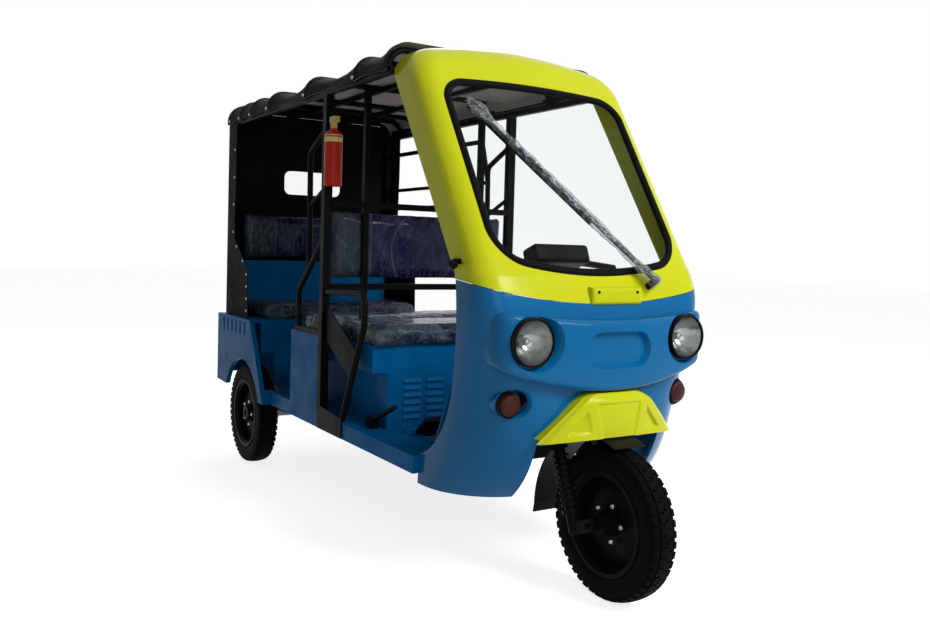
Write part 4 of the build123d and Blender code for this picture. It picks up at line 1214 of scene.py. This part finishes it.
def makeWiperFilm():
    root, tip = Vector(filmLook["root"]), Vector(filmLook["tip"])
    along = (tip - root).normalized()
    across = Vector((-along.y, along.x))

    def shape(u, v):
        angle = math.tau * u
        swell = filmLook["swell"] + filmLook["rootSwell"] * smooth(0.14 - v, 0.0, 0.14)
        swell += filmLook["tipSwell"] * smooth(v, 0.86, 0.93) * (1 - smooth(v, 0.95, 1.0))
        swell += filmLook["middleSwell"] * smooth(0.5 - abs(v - 0.42), 0.0, 0.5)
        fold = noise.noise(Vector((math.cos(angle) * 1.6, math.sin(angle) * 1.6, v * 26)))
        pinch = noise.noise(Vector((3.0, 5.0, v * 17)))
        radius = swell * (1 + 0.34 * fold + 0.22 * pinch)
        spot = root + (tip - root) * v + across * radius * math.cos(angle)
        height = filmLook["height"] + max(radius, filmLook["thin"]) * 0.8 * math.sin(angle)
        return onScreen(spot.x, spot.y, max(height, filmLook["clear"]))

    film = gridPiece("wiper_film", filmLook["rings"], filmLook["lengths"], shape)
    settle(film, "chassis", "clear_film", wiperFilm, 25)


# Grey film body, shown more along its creases as painted highlight
wiperFilm = clearSheet("wiperFilm", (0.82, 0.86, 0.87, 1), 0.7, 0.004, (0.42, 0.45, 0.47, 1), 0.34)
makeWiperFilm()
print("wiper film done")

# Rivets along the canvas, nuts and screws
rivetLook = {
    "radius": 0.0065, "rise": 0.0035, "sides": 14, "wing": 0.4705, "roofEdge": 1.7035, "roofHalf": 0.4722,
    "heights": (0.74, 0.80, 0.86, 0.92, 0.985, 1.055, 1.13, 1.27, 1.41, 1.55), "inset": 0.016,
}
nutLook = {"radius": 0.0085, "rise": 0.007, "sides": 6, "count": 5, "circle": 0.058}
nutTable = [  # body, rim, sides with nuts, distance out from the hub's middle
    ("front_wheel", "front_rim", (-1, 1), 0.0128),
    ("rear_wheel_right", "rear_rim_right", (-1,), 0.0208),
    ("rear_wheel_left", "rear_rim_left", (1,), 0.0208),
]
screwLook = {"radius": 0.005, "rise": 0.002, "sides": 12, "across": (-0.035, 0.125), "height": 0.953}


def domeHead(look):
    radius, rise = look["radius"], look["rise"]
    deselect()
    bpy.ops.mesh.primitive_cylinder_add(
        vertices=look["sides"], radius=radius, depth=rise, location=(0, 0, rise / 2))
    head = bpy.context.active_object
    bpy.ops.object.transform_apply(location=True, rotation=True, scale=True)
    choose(head, "FACE", lambda face: face.normal.z > 0.9)
    bpy.ops.mesh.inset(thickness=radius * 0.32, depth=0)
    bpy.ops.transform.translate(value=(0, 0, rise * 0.55))
    bpy.ops.object.mode_set(mode="OBJECT")
    return head


def makeRivets():
    look = rivetLook
    spots = []
    for side in (-1, 1):
        places = [(side * look["roofHalf"], bow, look["roofEdge"]) for bow in roofLook["bows"][1:]]
        for height in look["heights"]:
            places.append((side * look["wing"], wingFront(height) + look["inset"], height))
        spots += [facing((side, 0, 0), place) for place in places]
    settle(copies(domeHead(look), spots, "canvas_rivets"), "chassis", "chrome", rivetPaint, 30)


def makeNuts(body, node, sides, out):
    low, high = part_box(node)
    hub = (low + high) / 2
    spots = []
    for side in sides:
        for step in range(nutLook["count"]):
            angle = math.tau * (step + 0.5) / nutLook["count"]
            y = hub.y + nutLook["circle"] * math.cos(angle)
            z = hub.z + nutLook["circle"] * math.sin(angle)
            spots.append(facing((side, 0, 0), (hub.x + side * out, y, z)))
    settle(copies(domeHead(nutLook), spots, node + "_nuts"), body, "cast", boltSteel, 30)


def makeScrews():
    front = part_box("wiper_motor_cover")[0].y + 0.0002
    spots = [facing((0, -1, 0), (x, front, screwLook["height"])) for x in screwLook["across"]]
    settle(copies(domeHead(screwLook), spots, "cover_screws"), "chassis", "black_plastic", None, 30)


rivetPaint = bareMetal("rivetPaint", (0.62, 0.62, 0.60, 1), (0.48, 0.48, 0.46, 1), 0.35, 0.2)
boltSteel = bareMetal("boltSteel", (0.42, 0.42, 0.42, 1), (0.25, 0.25, 0.25, 1), 0.3, 0.9)
makeRivets()
for nutRow in nutTable:
    makeNuts(*nutRow)
makeScrews()
print("fasteners done")


# Short upright flutes pressed in the rear quarters
fluteLook = {
    "first": 0.972, "pitch": 0.066, "count": 6, "height": 0.658, "side": 0.5,
    "size": (0.007, 0.036, 0.066), "round": 0.0034, "segments": 4,
}


def makeFlutes():
    flute = block("flute", fluteLook["size"], (0, 0, 0), fluteLook["round"], fluteLook["segments"])
    places = []
    for side in (-1, 1):
        for step in range(fluteLook["count"]):
            along = fluteLook["first"] + step * fluteLook["pitch"]
            places.append(Matrix.Translation((side * fluteLook["side"], along, fluteLook["height"])))
    settle(copies(flute, places, "quarter_flutes"), "chassis", "blue_steel", None, 40)


makeFlutes()
print("flutes done")


# Camera at the photograph's place
cameraLook = {
    "place": (-1.848, -3.199, 1.0773), "yaw": 0.5461, "pitch": -0.0363, "roll": 0.0282,
    "lens": 33.97, "shift": (0.0129, -0.0321), "sensor": 36,
}


def makeCamera():
    yaw, pitch, roll = (cameraLook[key] for key in ("yaw", "pitch", "roll"))
    ahead = Vector((math.sin(yaw) * math.cos(pitch), math.cos(yaw) * math.cos(pitch), math.sin(pitch)))
    right = ahead.cross(Vector((0, 0, 1))).normalized()
    up = right.cross(ahead)
    tiltRight = right * math.cos(roll) + up * math.sin(roll)
    tiltUp = up * math.cos(roll) - right * math.sin(roll)
    deselect()
    bpy.ops.object.camera_add()
    camera = bpy.context.active_object
    turn = Matrix((tiltRight, tiltUp, -ahead)).transposed().to_4x4()
    camera.matrix_world = Matrix.Translation(cameraLook["place"]) @ turn
    camera.data.sensor_width = cameraLook["sensor"]
    camera.data.lens = cameraLook["lens"]
    camera.data.shift_x, camera.data.shift_y = cameraLook["shift"]
    bpy.context.scene.camera = camera


# Floor, light and background
stageLook = {"floorSize": 60, "fill": 0.12, "floorGlow": 0.8, "aim": (0, 0, 0.7)}
lampTable = [  # name, place, size, watts
    ("keyLamp", (1.7, -4.9, 4.4), 2.4, 285),
    ("frontLamp", (-1.6, -5.0, 2.2), 2.4, 30),
    ("backLamp", (1.8, 4.5, 4.0), 3.0, 50),
]


def backdropRays(start):
    camera, glossy, through = [start.node("ShaderNodeLightPath", None, None, out) for out in (0, 3, 6)]
    return camera.maths("MAXIMUM", camera.maths("MAXIMUM", camera, glossy), through)


def makeStage():
    deselect()
    bpy.ops.mesh.primitive_plane_add(size=stageLook["floorSize"])
    floor = bpy.context.active_object
    floor.name = "floor"
    finish = Finish("paleFloor")
    seen = backdropRays(finish.start)
    speck = finish.grain(3.0, 2.0)
    finish.set(Base_Color=speck.tint((0.8, 0.8, 0.8, 1), (0.84, 0.84, 0.84, 1)), Roughness=0.9)
    finish.set(Emission_Color=seen.tint((0, 0, 0, 1), (stageLook["floorGlow"],) * 3 + (1,)))
    finish.set(Emission_Strength=1.0)
    floor.data.materials.append(finish.material)
    for name, place, size, watts in lampTable:
        bpy.ops.object.light_add(type="AREA", location=place)
        lamp = bpy.context.active_object
        lamp.name = name
        lamp.data.size = size
        lamp.data.energy = watts
        ray = Vector(stageLook["aim"]) - Vector(place)
        lamp.rotation_euler = ray.to_track_quat("-Z", "Y").to_euler()
    world = bpy.data.worlds.new("studio")
    bpy.context.scene.world = world
    world.use_nodes = True
    start = Shade(world.node_tree)
    shown = backdropRays(start)
    ambient = start.node("ShaderNodeBackground", None, {0: (0.95, 0.97, 1.0, 1), 1: stageLook["fill"]})
    bright = start.node("ShaderNodeBackground", None, {0: (1, 1, 1, 1), 1: 1.0})
    mixed = start.node("ShaderNodeMixShader", None, {0: shown, 1: ambient, 2: bright})
    world.node_tree.links.new(mixed.socket, world.node_tree.nodes["World Output"].inputs[0])
    bpy.context.scene.view_settings.view_transform = "Standard"


makeCamera()
makeStage()
print("camera and stage set")
